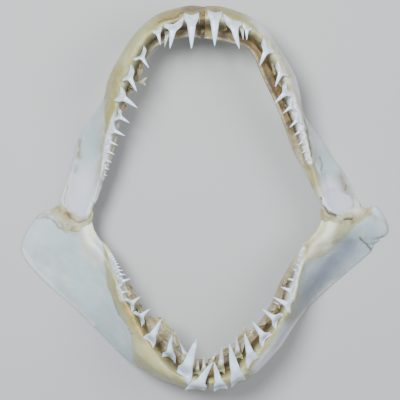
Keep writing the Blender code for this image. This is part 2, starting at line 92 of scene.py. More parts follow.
# Sections of each half, joint first: outer edge x, y, mouth edge x, y, and how
# far the section bows towards the symphysis half way across.
STATIONS = {
    "upper_left": (
        (63, 210, 90, 212, 6), (61, 202, 94, 205, 4), (61, 197, 98, 198, 1),
        (66, 183, 102, 186, 0), (71, 167, 106, 172, 0), (75, 152, 111, 156, 0),
        (79, 138, 115, 141, 0), (87, 124, 118, 127, 0), (97, 110, 121, 113, 0),
        (104, 97, 126, 99, 0), (107, 83, 132, 86, 0), (112, 70, 139, 72, 0),
        (120, 56, 145, 58, 0), (131, 39, 150, 50, 0), (143, 25, 158, 43, 0),
        (158, 14, 171, 38, 0), (175, 8.5, 184, 35, 0), (190, 5.5, 196, 35, 0),
        (199.5, 6, 200.5, 36, 0),
    ),
    "upper_right": (
        (359, 211, 328, 209, 6), (360, 204, 320, 201, 4), (356, 197, 317, 195, 1),
        (350, 184, 311, 185, 0), (343, 171, 306, 172, 0), (334, 159, 300, 161, 0),
        (326, 146, 294, 149, 0), (317, 134, 290, 137, 0), (308, 121, 286, 124, 0),
        (302, 107, 281, 111, 0), (300, 93, 275, 97, 0), (296, 79, 268, 83, 0),
        (289, 64, 262, 69, 0), (279, 48, 256, 55, 0), (268, 32, 247, 45, 0),
        (254, 19, 236, 42, 0), (238, 11.5, 226, 39, 0), (221, 6.5, 214, 37, 0),
        (205.5, 6, 204.5, 36, 0),
    ),
    "lower_left": (
        (55, 212, 91, 221, 13), (44, 211, 92, 226, 15), (32, 223, 95, 233, 11),
        (22, 243, 101, 241, 4), (25, 259, 107, 247, 1), (39, 276, 112, 255, 0),
        (57, 293, 117, 266, 0), (76, 309, 122, 278, 0), (92, 325, 129, 291, 0),
        (107, 340, 139, 307, 0), (120, 353, 149, 324, 0), (135, 365, 160, 337, 0),
        (152, 375, 171, 348, 0), (170, 383, 183, 357, 0), (187, 388, 194, 361, 0),
        (203, 390, 203, 362, 0),
    ),
    "lower_right": (
        (362, 214, 322, 216, 9), (376, 206, 320, 223, 14), (385, 218, 316, 230, 10),
        (388, 232, 309, 239, 4), (378, 245, 303, 246, 0), (366, 256, 299, 254, 0),
        (353, 267, 294, 262, 0), (339, 279, 288, 272, 0), (324, 292, 282, 283, 0),
        (310, 304, 277, 295, 0), (300, 317, 272, 307, 0), (291, 331, 264, 320, 0),
        (281, 346, 253, 332, 0), (268, 361, 242, 341, 0), (252, 376, 230, 350, 0),
        (232, 386, 218, 358, 0), (209, 390, 208, 362, 0),
    ),
}
LAST_STATION = {"upper": 18, "lower": 16}
SEEDS = {half: 10 * k for k, half in enumerate(sorted(STATIONS))}

# Heights and thicknesses along a half, by station: (stations, values). Across a
# section come the outer edge, the ridge of the blade, the crest that bears the
# teeth, the trough behind them and the mouth edge.
PROFILES = {
    "upper": {
        "outer height": ((0, 2, 5, 7, 8, 10, 13, 18), (7, 0, 0, 5, 18, 42, 54, 58)),
        "ridge height": ((0, 2, 5, 8, 10, 13, 18), (36, 34, 38, 52, 66, 77, 83)),
        "crest height": ((0, 2, 5, 8, 10, 13, 18), (43, 44, 51, 60, 68, 77, 85)),
        "trough height": ((0, 2, 5, 8, 10, 13, 18), (43, 44, 47, 49, 52, 57, 63)),
        "mouth height": ((0, 2, 5, 8, 10, 13, 18), (41, 41, 43, 46, 49, 53, 57)),
        "outer thickness": ((0, 6, 8, 10, 13, 18), (5, 5, 10, 26, 34, 36)),
        "ridge thickness": ((0, 4, 8, 10, 13, 18), (10, 8, 18, 32, 40, 44)),
        "crest thickness": ((0, 4, 8, 10, 13, 18), (9, 12, 20, 30, 38, 42)),
        "trough thickness": ((0, 4, 8, 10, 13, 18), (8, 8, 9, 14, 19, 23)),
        "mouth thickness": ((0, 4, 8, 10, 13, 18), (6, 6, 7, 10, 14, 16)),
        "ridge share": ((0, 5, 6, 8, 10, 18), (0.8, 0.8, 0.72, 0.5, 0.45, 0.45)),
        "edge power": ((0, 6, 10, 18), (9, 9, 3, 2.6)),
    },
    "lower": {
        "outer height": ((0, 2, 8, 10, 12, 14, 16), (3, 0, 0, 9, 32, 54, 62)),
        "ridge height": ((0, 3, 5, 8, 10, 12, 16), (36, 34, 36, 46, 59, 74, 85)),
        "crest height": ((0, 3, 5, 8, 10, 12, 16), (39, 43, 48, 59, 68, 77, 87)),
        "trough height": ((0, 3, 5, 8, 10, 12, 16), (38, 41, 44, 48, 51, 55, 64)),
        "mouth height": ((0, 3, 5, 8, 10, 12, 16), (35, 38, 41, 45, 47, 50, 57)),
        "outer thickness": ((0, 7, 10, 12, 16), (5, 5, 10, 26, 40)),
        "ridge thickness": ((0, 4, 8, 10, 12, 16), (14, 9, 13, 24, 38, 46)),
        "crest thickness": ((0, 4, 8, 10, 12, 16), (13, 13, 20, 30, 40, 46)),
        "trough thickness": ((0, 4, 8, 10, 12, 16), (11, 9, 9, 13, 18, 24)),
        "mouth thickness": ((0, 4, 8, 10, 12, 16), (8, 7, 7, 9, 12, 16)),
        "ridge share": ((0, 6, 8, 10, 12, 16), (0.77, 0.84, 0.75, 0.6, 0.45, 0.45)),
        "edge power": ((0, 7, 11, 16), (9, 9, 4, 4.5)),
    },
}
TROUGH_SHARE = 0.6
SECTION_PLACES = ("outer", "ridge", "crest", "trough", "mouth")

# A capsule runs between these rings of the lower and the upper jaw, counted from the
# joint, and the gristle between the rings third from the front. It is drawn in
# (a negative swell) and sags by so many millimetres.
CAPSULE_SPAN = (8, 10)
CAPSULE_RINGS = 110
GRISTLE_MEETS = -3
GRISTLE_RINGS = 24
GRISTLE_SWELL = -0.6
GRISTLE_SAG = {"upper": 2.0, "lower": 2.5}

# How far across the crest lies. The right half is turned more to the side.
CREST_ACROSS = {
    "upper_left": ((0, 5, 8, 11, 14, 18), (0.88, 0.86, 0.74, 0.62, 0.5, 0.42)),
    "upper_right": ((0, 4, 5, 7, 9, 12, 14, 18), (0.88, 0.8, 0.7, 0.48, 0.36, 0.34, 0.38, 0.4)),
    "lower_left": ((0, 6, 9, 12, 14, 16), (0.86, 0.9, 0.8, 0.6, 0.32, 0.24)),
    "lower_right": ((0, 5, 7, 8, 10, 12, 14, 16), (0.86, 0.88, 0.78, 0.68, 0.5, 0.44, 0.32, 0.24)),
}

# Large teeth from the symphysis back, on the sheet: tip x, y, then the ends of the
# root's two lobes, x, y each.
LARGE_TEETH = {
    "upper_left": (
        (191.5, 49, 184, 12, 199, 11.5),
        (169.8, 48.8, 164.5, 22.6, 184, 16.5),
        (160.5, 44.9, 152.3, 30.2, 161.2, 24.2),
        (149.1, 67.9, 133, 58.5, 143.6, 44.5),
        (136.8, 91.7, 121.4, 78.5, 131, 63),
        (137.7, 108.1, 113, 99.5, 120, 86),
        (129.8, 123.1, 111.6, 119.5, 118, 107.3),
        (125, 136, 106.5, 133.8, 110.8, 122),
    ),
    "upper_right": (
        (214.7, 46.3, 207.6, 8, 222.3, 9.5),
        (239.5, 49, 222.8, 12.2, 240.6, 20.2),
        (246.7, 40.4, 242.6, 22, 252, 27.6),
        (259.5, 66.1, 264, 37, 275.3, 50),
        (275.2, 87, 278.3, 58.5, 289.6, 74.5),
        (274.5, 103.4, 286.2, 81, 294.5, 94.5),
        (282.4, 113.8, 292.8, 96, 298, 110.8),
        (289.4, 127.6, 298.8, 110.8, 302.8, 123.5),
    ),
    "lower_left": (
        (213.2, 361.4, 184.6, 391.6, 204, 392.4),
        (196.9, 338.2, 176.4, 373, 188, 389.2),
        (172.2, 334.1, 162.2, 357, 175.2, 364.4),
        (161.5, 318.8, 142.4, 339.5, 153.1, 348.8),
        (150.7, 308.3, 132.2, 312.8, 141.4, 327),
        (140.6, 296.3, 123.6, 299.5, 131.5, 312.7),
        (127.6, 291, 118.4, 288.5, 120.8, 298.2),
        (130.9, 278.5, 116.2, 277.6, 118.2, 287.8),
    ),
    "lower_right": (
        (213.7, 361.5, 214.4, 393, 228, 390.5),
        (229.4, 343.8, 232, 389.4, 245.7, 381.6),
        (244.6, 333.1, 247.8, 370, 258.8, 358.7),
        (252.3, 321.5, 263.1, 349, 272.8, 335.8),
        (261.8, 308.7, 276.8, 330.4, 284.4, 315.2),
        (273.1, 297.1, 291.5, 314.4, 294.6, 300.2),
        (280.4, 286.8, 293.2, 298.4, 296.8, 286.2),
        (286.9, 278.4, 296, 285.4, 297.6, 276.6),
    ),
}

# Small rear teeth: the first and the last one in the same terms, and how many.
REAR_TEETH = {
    "upper_left": ((118, 145.5, 104.4, 145, 106, 135), (107.3, 176, 102.4, 177, 103.2, 170.6), 5),
    "upper_right": ((294, 135.6, 299.8, 125.5, 304.2, 134.6), (304.5, 160.5, 308.6, 154.4, 311.4, 160.6), 4),
    "lower_left": ((126, 274.5, 115.4, 270.2, 116.4, 278), (114.5, 256, 109.4, 254.6, 111, 260), 7),
    "lower_right": ((292.2, 268.5, 297.4, 276, 299.2, 267.6), (300.6, 251, 302.6, 255.2, 304.4, 249.8), 5),
}
REAR_SPACING_RATIO = 0.88

# Greyish teeth of the second row that show between the large ones.
SECOND_ROW = {
    "upper_left": ((164.5, 47.4, 164.6, 30, 173, 28),),
    "upper_right": ((243.2, 40, 239, 26, 245, 27),),
    "lower_left": (
        (180.1, 342.3, 182, 362, 193, 357), (178.2, 335.4, 173, 348, 180, 351),
        (198, 358.5, 193, 375, 201, 377), (203.6, 356.8, 200, 378, 209, 372),
        (138.8, 303.5, 134.6, 307, 137.5, 311),
    ),
    "lower_right": (
        (221.6, 346.4, 216, 374, 225, 374), (235.9, 335.7, 233, 362, 243, 359),
        (251.8, 326.8, 249, 337, 253.5, 336), (216.6, 351, 207.5, 366, 214, 362),
        (272.4, 301.4, 280, 309, 284, 303),
    ),
}

# Behind the large teeth the roots and the tissue round them make one chalky band.
CHALKY_FROM = 6
CHALK_RISE = 0.7

# How wide the gum, the pale tissue and the chalky band are round a root, each as a
# share of the root's width and the millimetres added to it, and how strongly the
# pale tissue shows.
GUM_WIDTH = (0.5, 2.4)
FLESH_WIDTH = (0.16, 1.0)
CHALK_WIDTH = (0.25, 1.7)
FLESH_STRENGTH = 0.6

# Unevenness in layers of (strength, size), in millimetres: of the cartilage, of the
# lines drawn on it, of the membrane's torn rim, of the scraps' outlines and sheets,
# whose strengths are shares, and of the joint capsules and the gristle.
UNEVEN = ((0.45, 17), (0.2, 6.5), (0.07, 2.6))
WANDER = ((0.9, 5), (0.6, 2.2))
LIP_TORN = ((1.4, 9), (0.7, 3.2))
SCRAP_TORN = ((0.34, 3.4), (0.24, 1.3))
SCRAP_WAVY = ((1.0, 4.2), (0.4, 1.8))
CAPSULE_ROUGH = ((0.6, 6), (0.35, 2.5))

# How much smoother the gum is, and the relief setting that all this is drawn for.
SMOOTHED_BY_GUM = 0.75
RELIEF_AS_DRAWN = 0.5

# How far the gum swells round a root, as a share of the root's width.
GUM_SWELL = 0.04

# Tooth proportions, as shares of the root's width or of the tooth's length.
TOOTH_RINGS = 30
TOOTH_SIDES = 28
TIP_RISE = {"upper": 0.2, "lower": 0.36}
SECOND_ROW_RISE = 0.1
SEAT_SHARES = (0.0, 0.1, 0.2, 0.3, 0.4, 0.5)
SWAY = 0.05

# A root lies on the jaw: how far its middle stands above the surface, and how far
# it may bend down or up to it, in millimetres.
ROOT_PROUD = 0.7
ROOT_DROP = 6.0
ROOT_CLIMB = 2.0

# Finer points of a tooth. Where a pair stands, a change begins and ends at those
# shares of the length: the rings crowd towards the tip, the root turns to the line
# between its lobes, the crown's sharp edges soften into the root, the front is
# flatter than the back, a groove runs down the middle of the root, the sway fades
# out, the root's outline is uneven, it comes to lie on the jaw, and a painted shade
# darkens its middle over this share of its half width.
RING_CROWDING = 1.15
TURNS_FROM = (0.55, 0.95)
EDGE_SHARPNESS = 1.6
EDGE_SOFTENING = 0.6
SOFTENS_FROM = (0.6, 0.85)
FRONT_DEPTH = 0.8
GROOVE_DEPTH = 0.35
GROOVE_WIDTH = 0.22
GROOVE_FROM = (0.74, 0.9)
SWAY_ENDS = (0.4, 0.68)
ROOT_UNEVEN = 0.25
LIES_FROM = (0.55, 1.0)
ROOT_SHADE_WIDTH = 0.55

# A tooth by distance back from its tip, as a share of its length. The crown's half
# width is a share of the length and the root's one of the width between its lobes.
# Flatness is half thickness over half width, and the notch parts the lobes.
CROWN_HALF_WIDTH = (
    (0, 0.03, 0.08, 0.16, 0.3, 0.45, 0.6),
    (0, 0.010, 0.022, 0.038, 0.061, 0.080, 0.104),
)
ROOT_HALF_WIDTH = ((0.5, 0.62, 0.72, 0.8, 0.9, 1.0), (0.19, 0.27, 0.375, 0.45, 0.49, 0.5))
ROOT_FROM = (0.55, 0.77)
FLATNESS = ((0, 0.3, 0.55, 0.7, 0.9, 0.97, 1.0), (0.7, 0.56, 0.5, 0.36, 0.26, 0.16, 0))
TOOTH_NOTCH = ((0, 0.62, 0.8, 0.92, 1.0), (0, 0, 0.04, 0.13, 0.21))

# Where the blade ends and the dental band begins, as x by y on the sheet.
BAND_EDGE = {
    "upper_left": ((0, 88, 100, 177, 188, 203, 216), (60, 80, 104, 104, 100, 94, 90)),
    "upper_right": ((0, 110, 119, 140, 156, 172, 190, 210), (420, 400, 305, 308, 311, 318, 324, 332)),
    "lower_left": (
        (210, 235, 258, 285, 302, 316, 331, 350, 366, 372),
        (95, 101, 104, 106, 113, 119, 129, 131, 135, 60),
    ),
    "lower_right": (
        (214, 225, 246, 255, 262, 280, 300, 318, 340, 360, 374, 382),
        (372, 357, 338, 325, 305, 300, 296, 286, 273, 258, 246, 330),
    ),
}
BAND_SIDE = {"left": 1.0, "right": -1.0}

# Between which distances the blade turns into the band, and the strength and size of
# the noise that moves their border about, in millimetres.
BAND_BLEND = (-1.5, 2.0)
BAND_WANDER = (1.2, 9.0)

# Marks on the top of a half: mask, strength, radius in millimetres and the
# places on the sheet that the mark runs through.
MARKS = {
    "upper_left": (
        ("ochre", 1.0, 9, (186, 9), (199, 8)), ("dark", 0.55, 5, (187, 7), (199, 8)),
        ("ochre", 0.9, 7, (164, 18), (181, 12)),
        ("ochre", 0.6, 5, (163, 19), (175, 22)), ("ochre", 0.35, 6, (150, 34), (158, 27)),
        ("dark", 0.9, 0.8, (178, 17), (184, 12)), ("dark", 0.6, 0.7, (170, 24), (180, 19)),
        ("dark", 0.8, 0.8, (159, 23), (168, 19), (178, 18)),
        ("dark", 0.7, 0.8, (185, 8), (192, 11), (198, 8)),
        ("ochre", 0.35, 8, (118, 72), (110, 96), (105, 130)),
        ("ochre", 0.8, 2.2, (80, 140), (79, 157)), ("ochre", 0.5, 1.8, (77, 167), (75, 172)),
        ("dark", 0.4, 0.6, (67, 186), (65, 195), (64, 203)), ("dark", 0.35, 0.8, (75, 189)),
        ("dark", 0.25, 0.8, (97, 148)), ("dark", 0.25, 0.8, (98, 140)),
        ("ochre", 0.3, 3, (99, 170), (97, 195)), ("dark", 0.5, 1.2, (94, 203), (93, 210)),
        # The lilac mark is a pale lilac tint, partly painted light.
        ("cream", 0.6, 3, (70, 175), (63, 200)), ("lilac", 0.55, 15, (86, 182), (79, 206)),
    ),
    "upper_right": (
        ("ochre", 0.9, 5, (208, 8), (218, 9)), ("ochre", 0.5, 5, (224, 13), (236, 17)),
        ("dark", 0.6, 0.6, (212, 12), (222, 11)), ("ochre", 0.4, 4, (252, 30), (262, 38)),
        ("dark", 0.9, 0.8, (305, 120), (309, 138), (311, 156)),
        ("dark", 0.75, 0.6, (319, 157), (322, 163), (321, 171)),
        ("ochre", 0.5, 2.0, (341, 177), (345, 188)), ("dark", 0.5, 1.0, (346, 184), (346, 190)),
        ("dark", 0.35, 1.0, (354, 204), (354, 207)), ("dark", 0.35, 0.5, (352, 193), (355, 199)),
        ("ochre", 0.45, 4, (310, 170), (314, 186)), ("dark", 0.8, 1.2, (321, 198), (325, 206)),
        # The grey mark is painted shade on the dark side by the joint.
        ("cream", 0.6, 3, (346, 178), (359, 207)), ("grey", 1.0, 5, (340, 176), (349, 198)),
        # The lilac marks are a pale lilac tint, partly painted light where the band's steep outer face falls
        # into shade.
        ("lilac", 1.0, 10, (258, 16), (280, 40), (296, 70), (304, 100)),
        ("lilac", 0.5, 8, (306, 110), (322, 140)),
        ("lilac", 0.8, 9, (328, 188), (333, 202)), ("cream", 0.9, 5, (262, 27), (268, 34)),
    ),
    "lower_left": (
        ("cream", 0.9, 9, (90, 226), (90, 248)), ("cream", 0.5, 6, (93, 248), (98, 262)),
        ("ochre", 0.35, 4, (68, 226), (80, 236)), ("ochre", 0.5, 3, (40, 215), (56, 214)),
        ("ochre", 0.6, 4.5, (120, 290), (131, 316)), ("orange", 0.8, 2.2, (127, 310), (130, 315)),
        ("orange", 0.9, 2.2, (139, 328), (141, 333)), ("ochre", 0.65, 5, (133, 320), (142, 336)),
        ("ochre", 0.7, 3, (153, 336), (156, 350)), ("ochre", 0.5, 3, (168, 368), (175, 376)),
        ("orange", 0.4, 3, (149, 342), (158, 345)),
        ("dark", 0.6, 1.0, (114, 300), (118, 315)), ("dark", 0.5, 0.8, (128, 329), (132, 334)),
        ("dark", 0.6, 0.9, (134, 361), (137, 364)), ("dark", 0.35, 0.8, (138, 361)),
        ("dark", 0.35, 0.8, (142, 361)),
        # The grey marks on the next two lines are painted shade along the grooves and in a hollow of the
        # blade.
        ("dark", 0.3, 0.8, (116, 344)), ("grey", 0.5, 3.5, (108, 262), (109, 290)),
        ("grey", 0.45, 4, (35, 255), (46, 264)), ("grey", 0.5, 4, (118, 305), (131, 345)),
        ("ochre", 0.55, 1.8, (38, 217), (50, 217), (57, 225), (66, 231), (78, 228)),
        ("dark", 0.3, 0.6, (40, 217), (51, 218), (57, 226), (63, 229)),
        ("rim", 1.0, 2.5, (22, 250), (34, 271), (58, 294), (92, 325)),
    ),
    "lower_right": (
        ("cream", 0.9, 9, (334, 222), (326, 244)), ("cream", 0.6, 6, (318, 240), (309, 256)),
        ("ochre", 0.35, 4, (342, 222), (336, 240)), ("ochre", 0.4, 3, (362, 210), (384, 222), (388, 232)),
        ("dark", 0.9, 0.6, (360, 238), (371, 250)), ("dark", 0.5, 0.5, (366, 243), (373, 251)),
        ("ochre", 0.5, 2.5, (283, 308), (272, 330)), ("ochre", 0.5, 2.5, (258, 355), (249, 368)),
        ("ochre", 0.4, 2.0, (292, 292), (286, 304)), ("ochre", 0.5, 3, (228, 375), (232, 384)),
        ("dark", 0.25, 0.7, (311, 262)), ("dark", 0.25, 0.7, (312, 272)), ("dark", 0.2, 0.7, (322, 276)),
        # Painted shade: the marks on the next three lines, all but the lilac one, darken the lower right
        # blade, the side turned from the light.
        ("painted_blade_shade", 0.95, 13, (350, 246), (328, 270), (306, 296), (292, 318)),
        ("painted_blade_shade", 0.6, 14, (370, 232), (350, 246)),
        # The lilac mark on the next line is a pale tint, partly painted light.
        ("painted_blade_shade", 0.5, 9, (292, 318), (278, 344)), ("lilac", 0.7, 6, (288, 326), (274, 350), (258, 368)),
        # The grey mark is painted shade in the blade's hollow.
        ("grey", 0.5, 5, (335, 262), (312, 290)), ("cream", 0.8, 1.2, (329, 254), (337, 252)),
        ("rim", 1.0, 2.0, (371, 254), (345, 275), (320, 294), (300, 316), (276, 352)),
    ),
}

# Marks on the joint capsules, in the same terms.
MARKS["joint_left"] = (
    ("cream", 1.0, 7, (72, 206), (83, 210)),
    ("dark", 0.5, 0.9, (65, 207), (69, 217), (79, 222.5), (88, 219.5), (93, 210)),
    ("ochre", 0.9, 2.6, (65, 213), (70, 216)), ("ochre", 0.5, 2.0, (57, 207), (61, 211)),
    ("cream", 0.25, 3, (56, 218), (66, 224), (78, 226)),
)
MARKS["joint_right"] = (
    ("cream", 1.0, 6, (327, 202), (340, 208), (356, 209)),
    ("dark", 0.85, 1.1, (320, 196), (322, 205), (328, 213), (336, 216)),
    ("dark", 0.9, 1.4, (345, 219), (352, 219)),
    ("ochre", 0.5, 2.5, (320, 208), (322, 217)), ("cream", 0.45, 1.6, (333, 214.5), (349, 215)),
    ("ochre", 0.5, 2.0, (362, 206), (374, 209)),
)

# Grooves and ridges on the top: rise in millimetres, half width, places on the sheet.
RELIEF = {
    "upper_left": (
        (-0.9, 1.5, (104.5, 100), (104, 140), (104.5, 177)), (-0.8, 1.0, (66, 186), (64, 203)),
        (-0.6, 1.4, (80, 139), (79, 157)), (0.7, 2.5, (150, 40), (158, 30), (180, 12)),
        (0.6, 2.0, (72, 172), (78, 150), (84, 132)),
    ),
    "upper_right": (
        (-1.3, 1.2, (305, 119), (309, 138), (311, 156), (318, 172)),
        (-0.8, 0.7, (319, 157), (322, 163), (321, 171)),
        (1.2, 3.0, (309, 128), (316, 160), (326, 188)), (-1.4, 5.0, (325, 178), (338, 202)),
        (-0.9, 1.1, (354, 203), (354, 208)),
    ),
    "lower_left": (
        (-0.9, 1.6, (104, 258), (106, 285), (113, 302), (119, 316), (129, 331), (135, 366)),
        (1.8, 8.0, (90, 226), (92, 250), (99, 275)), (-1.0, 1.2, (40, 217), (51, 218), (57, 226), (63, 229)),
        (0.5, 2.0, (24, 252), (36, 271), (60, 294), (94, 325)), (-1.2, 8.0, (38, 250), (60, 275)),
    ),
    "lower_right": (
        (2.2, 7.0, (334, 222), (326, 244), (312, 256)), (-1.6, 9.0, (362, 232), (335, 258), (312, 285)),
        (-1.2, 0.7, (360, 238), (371, 250)), (1.4, 3.0, (374, 208), (384, 220), (388, 231)),
        (0.6, 2.0, (369, 253), (345, 273), (320, 292), (298, 316)),
    ),
}

# The torn corner of the lower right blade: how far its edge is set in, by station,
# and the share of the way across that this reaches.
TORN_EDGE = (
    (3.0, 3.25, 3.3, 3.55, 3.6, 3.9, 3.95, 4.1, 4.35, 4.5, 5),
    (0, 0.5, 4.5, 6.0, 2.5, 5.0, 6.5, 3.0, 1.5, 0.4, 0),
)
TORN_SHARE = 0.16

# The membrane's path across: place between crest and mouth edge (1), overhang
# past the edge, share of the way to the underside, and lift above that.
LIP_PATH = (
    (0.22, 0.0, 0.0, 0.2), (0.45, 0.0, 0.0, 0.5), (0.68, 0.0, 0.0, 0.6), (0.86, 0.0, 0.0, 0.8),
    (0.96, 0.2, 0.0, 1.8), (1.0, 0.6, 0.1, 3.2), (1.0, 1.4, 0.2, 3.2), (1.0, 2.2, 0.35, 1.2),
    (1.0, 2.6, 0.6, -1.5), (0.98, 1.8, 0.85, -2.2), (0.9, 0.3, 1.0, -0.9), (0.75, 0.0, 1.0, -0.5),
    (0.55, 0.0, 1.0, -0.25),
)

# How far the membrane stands out past the mouth edge, and how brown the hollow
# behind the teeth is, both from 0 to 1 by y on the sheet.
LIP_STRENGTH = {
    "upper_left": ((30, 45, 60, 100, 130, 177), (1.0, 0.8, 0.3, 0.25, 0.2, 0.1)),
    "upper_right": ((30, 45, 60, 120, 150, 165), (1.0, 0.9, 0.9, 0.8, 0.4, 0.1)),
    "lower_left": ((250, 300, 315, 330, 345, 362), (0.0, 0.05, 0.5, 0.8, 0.7, 0.8)),
    "lower_right": ((245, 262, 300, 330, 350, 362), (0.1, 0.5, 0.6, 0.9, 0.9, 0.8)),
}
HOLLOW_BROWN = {
    "upper_left": ((30, 60, 130, 177), (0.9, 0.7, 0.6, 0.3)),
    "upper_right": ((30, 60, 130, 165), (0.9, 1.0, 1.0, 0.3)),
    "lower_left": ((250, 285, 300, 330, 360), (0.0, 0.15, 0.35, 0.8, 0.9)),
    "lower_right": ((245, 262, 280, 362), (0.1, 0.5, 0.9, 1.0)),
}
LIP_COLUMNS = 44
LIP_ROWS = 260
LIP_START = 0.2
LIP_SAMPLES = 120
LIP_RISE_AS_DRAWN = 3.2

# Even where it is weakest, the membrane keeps this much of its stand and its tint.
LIP_LEAST = 0.2
LIP_LEAST_TINT = 0.15

# Scraps of dried tissue on the membranes: middle x, y on the sheet, half length,
# half width, turn in degrees, height above the jaw, how far the rim stands above
# the middle, and how brown and how olive the scrap is.
SCRAPS = {
    "upper_left": (
        (139.5, 81.5, 3.6, 1.3, 28, 2.0, 0.3, 0.0, 0.0), (143.8, 79.8, 3.2, 1.1, -38, 2.4, 0.3, 0.0, 0.0),
        (143.6, 83.6, 3.0, 1.0, 24, 2.2, 0.3, 0.0, 0.0), (139.6, 70, 9.0, 2.2, -78, 1.0, 0.8, 0.5, 0.2),
        (130.5, 89, 3.0, 2.4, 60, 1.2, 1.4, 0.9, 0.2), (124.6, 107.6, 3.6, 2.2, -60, 1.0, 1.2, 0.9, 0.2),
    ),
    "upper_right": (
        (273.4, 68, 7.0, 1.3, 78, 2.2, 0.6, 0.0, 0.0), (279.6, 83, 3.8, 1.2, 62, 2.0, 0.5, 0.0, 0.0),
        (222, 27, 4.6, 3.0, 20, 1.6, 1.2, 0.9, 0.5), (286, 104, 4.0, 1.4, 70, 1.8, 0.6, 0.3, 0.0),
    ),
    "lower_left": (
        (129.2, 287.3, 3.4, 2.9, 60, 1.6, 2.0, 0.9, 0.4), (133.0, 296.1, 3.3, 2.8, 55, 1.6, 2.0, 0.9, 0.4),
        (139.6, 307, 4.8, 2.8, 62, 1.4, 1.8, 0.6, 0.3), (151.5, 321.4, 7.4, 4.6, 32, 2.0, 1.8, 0.35, 0.3),
        (158.2, 319.6, 3.6, 2.6, 20, 3.2, 1.4, 0.6, 0.6), (165.2, 325.4, 6.6, 4.2, 66, 2.6, 1.2, 0.2, 1.0),
        (163.2, 336.6, 5.8, 5.0, 50, 2.4, 0.4, 0.5, 0.2), (176, 341, 6.4, 2.8, 64, 3.0, 1.2, 0.2, 0.3),
        (172, 331.5, 4.0, 2.2, 40, 2.6, 0.8, 0.3, 0.4),
    ),
    "lower_right": (
        (240.6, 343.5, 12.0, 3.4, -76, 2.4, 1.4, 0.15, 0.3),
        (248.6, 332.6, 8.6, 2.6, -24, 2.6, 1.0, 0.2, 0.9),
        (263, 322.8, 3.6, 2.8, -30, 2.4, 1.0, 0.1, 0.1), (284.8, 282.4, 3.8, 2.0, -62, 1.8, 1.2, 0.7, 0.8),
        (273.8, 308, 4.2, 2.4, -52, 1.8, 1.2, 0.7, 0.8), (225.4, 352, 4.6, 2.8, -34, 2.2, 1.0, 0.3, 0.4),
    ),
}
SCRAP_ROWS = 26
SCRAP_SIDES = 44
SCRAP_THICKNESS = 0.8
SCRAP_RAGGEDNESS = 1.0

# The power that flattens a scrap's sphere, and how far its sheet waves at its rim.
SCRAP_FULLNESS = 0.6
SCRAP_WAVE = 1.7

# The rounded ends of the upper jaw over the joints, in the terms of a scrap.
JAW_ENDS = {
    "left": (79.3, 204.5, 16.2, 12.6, 84, -0.8, 0.0, 0.0, 0.0),
    "right": (337.5, 201.5, 16.0, 12.4, 14, -0.8, 0.0, 0.0, 0.0),
}
JAW_END_THICKNESS = 3.0
# The jaw ends take the lilac tint, partly painted light.
JAW_END_LILAC = 0.45
JAW_END_RAGGEDNESS = 0.16

# How far above its middle on the sheet such an end begins and finishes thinning out.
JAW_END_THINS = (-2.0, 13.0)

# The stage, in metres: the floor's level, and each lamp's place, size and watts.
FLOOR_LEVEL = -0.0002
LAMPS = (
    ("key", (-0.45, 0.4, 1.55), 0.6, 46.0),
    ("fill", (1.0, 0.2, 1.25), 1.0, 16.0),
)


def curve_rows(x, keys, values):
    """Monotone cubic through each row's keys, so that it never overshoots them."""
    slopes = np.diff(values, axis=1) / np.diff(keys, axis=1)
    before = np.concatenate([slopes[:, :1], slopes], axis=1)
    after = np.concatenate([slopes, slopes[:, -1:]], axis=1)
    tangents = np.where(before * after <= 0, 0.0, 0.5 * (before + after))
    limit = 3 * np.minimum(np.abs(before), np.abs(after))
    tangents = np.clip(tangents, -limit, limit)
    x = np.clip(x, keys[:, :1], keys[:, -1:])
    i = (x[:, :, None] >= keys[:, None, :]).sum(axis=2) - 1
    i = np.clip(i, 0, keys.shape[1] - 2)
    low, high, y_low, y_high, t_low, t_high = (
        np.take_along_axis(table, index, axis=1)
        for table in (keys, values, tangents)
        for index in (i, i + 1)
    )
    width = high - low
    t = (x - low) / width
    return (
        (2 * t**3 - 3 * t**2 + 1) * y_low
        + (t**3 - 2 * t**2 + t) * width * t_low
        + (3 * t**2 - 2 * t**3) * y_high
        + (t**3 - t**2) * width * t_high
    )


def smooth_curve(x, keys, values):
    """The same for one curve, at the values x."""
    rows = (np.asarray(table, float)[None] for table in (x, keys, values))
    return curve_rows(*rows)[0]


def free_curve(x, values):
    """Cubic through values at 0, 1, 2 ..., with the mean slope at each."""
    values = np.asarray(values, float)
    tangents = np.gradient(values)
    i = np.clip(np.floor(x).astype(int), 0, len(values) - 2)
    t = x - i
    return (
        (2 * t**3 - 3 * t**2 + 1) * values[i]
        + (t**3 - 2 * t**2 + t) * tangents[i]
        + (3 * t**2 - 2 * t**3) * values[i + 1]
        + (t**3 - t**2) * tangents[i + 1]
    )


def fade(x, low, high):
    """0 below low, 1 above high, and an even S between."""
    t = np.clip((x - low) / (high - low), 0, 1)
    return t * t * (3 - 2 * t)


def bell(x, width):
    """1 where x is 0, falling away evenly on both sides over the width."""
    return np.exp(-((x / width) ** 2))


def noise(points, size, seed):
    """Seeded smooth noise from -1 to 1, its lumps about the given size across."""
    lattice = np.random.default_rng(seed).uniform(-1, 1, (NOISE_CELLS,) * 3)
    place = points / size + 4 * NOISE_CELLS
    cell = np.floor(place).astype(int)
    t = place - cell
    t = t * t * (3 - 2 * t)
    total = np.zeros(points.shape[:-1])
    for corner in np.ndindex(2, 2, 2):
        weight = np.prod(np.where(corner, t, 1 - t), axis=-1)
        index = (cell + corner) % NOISE_CELLS
        total += weight * lattice[index[..., 0], index[..., 1], index[..., 2]]
    return total


def noises(points, seed, layers, step=1):
    """Layers of noise added up, each with its own strength, size and seed."""
    return sum(strength * noise(points, size, seed + step * k) for k, (strength, size) in enumerate(layers))


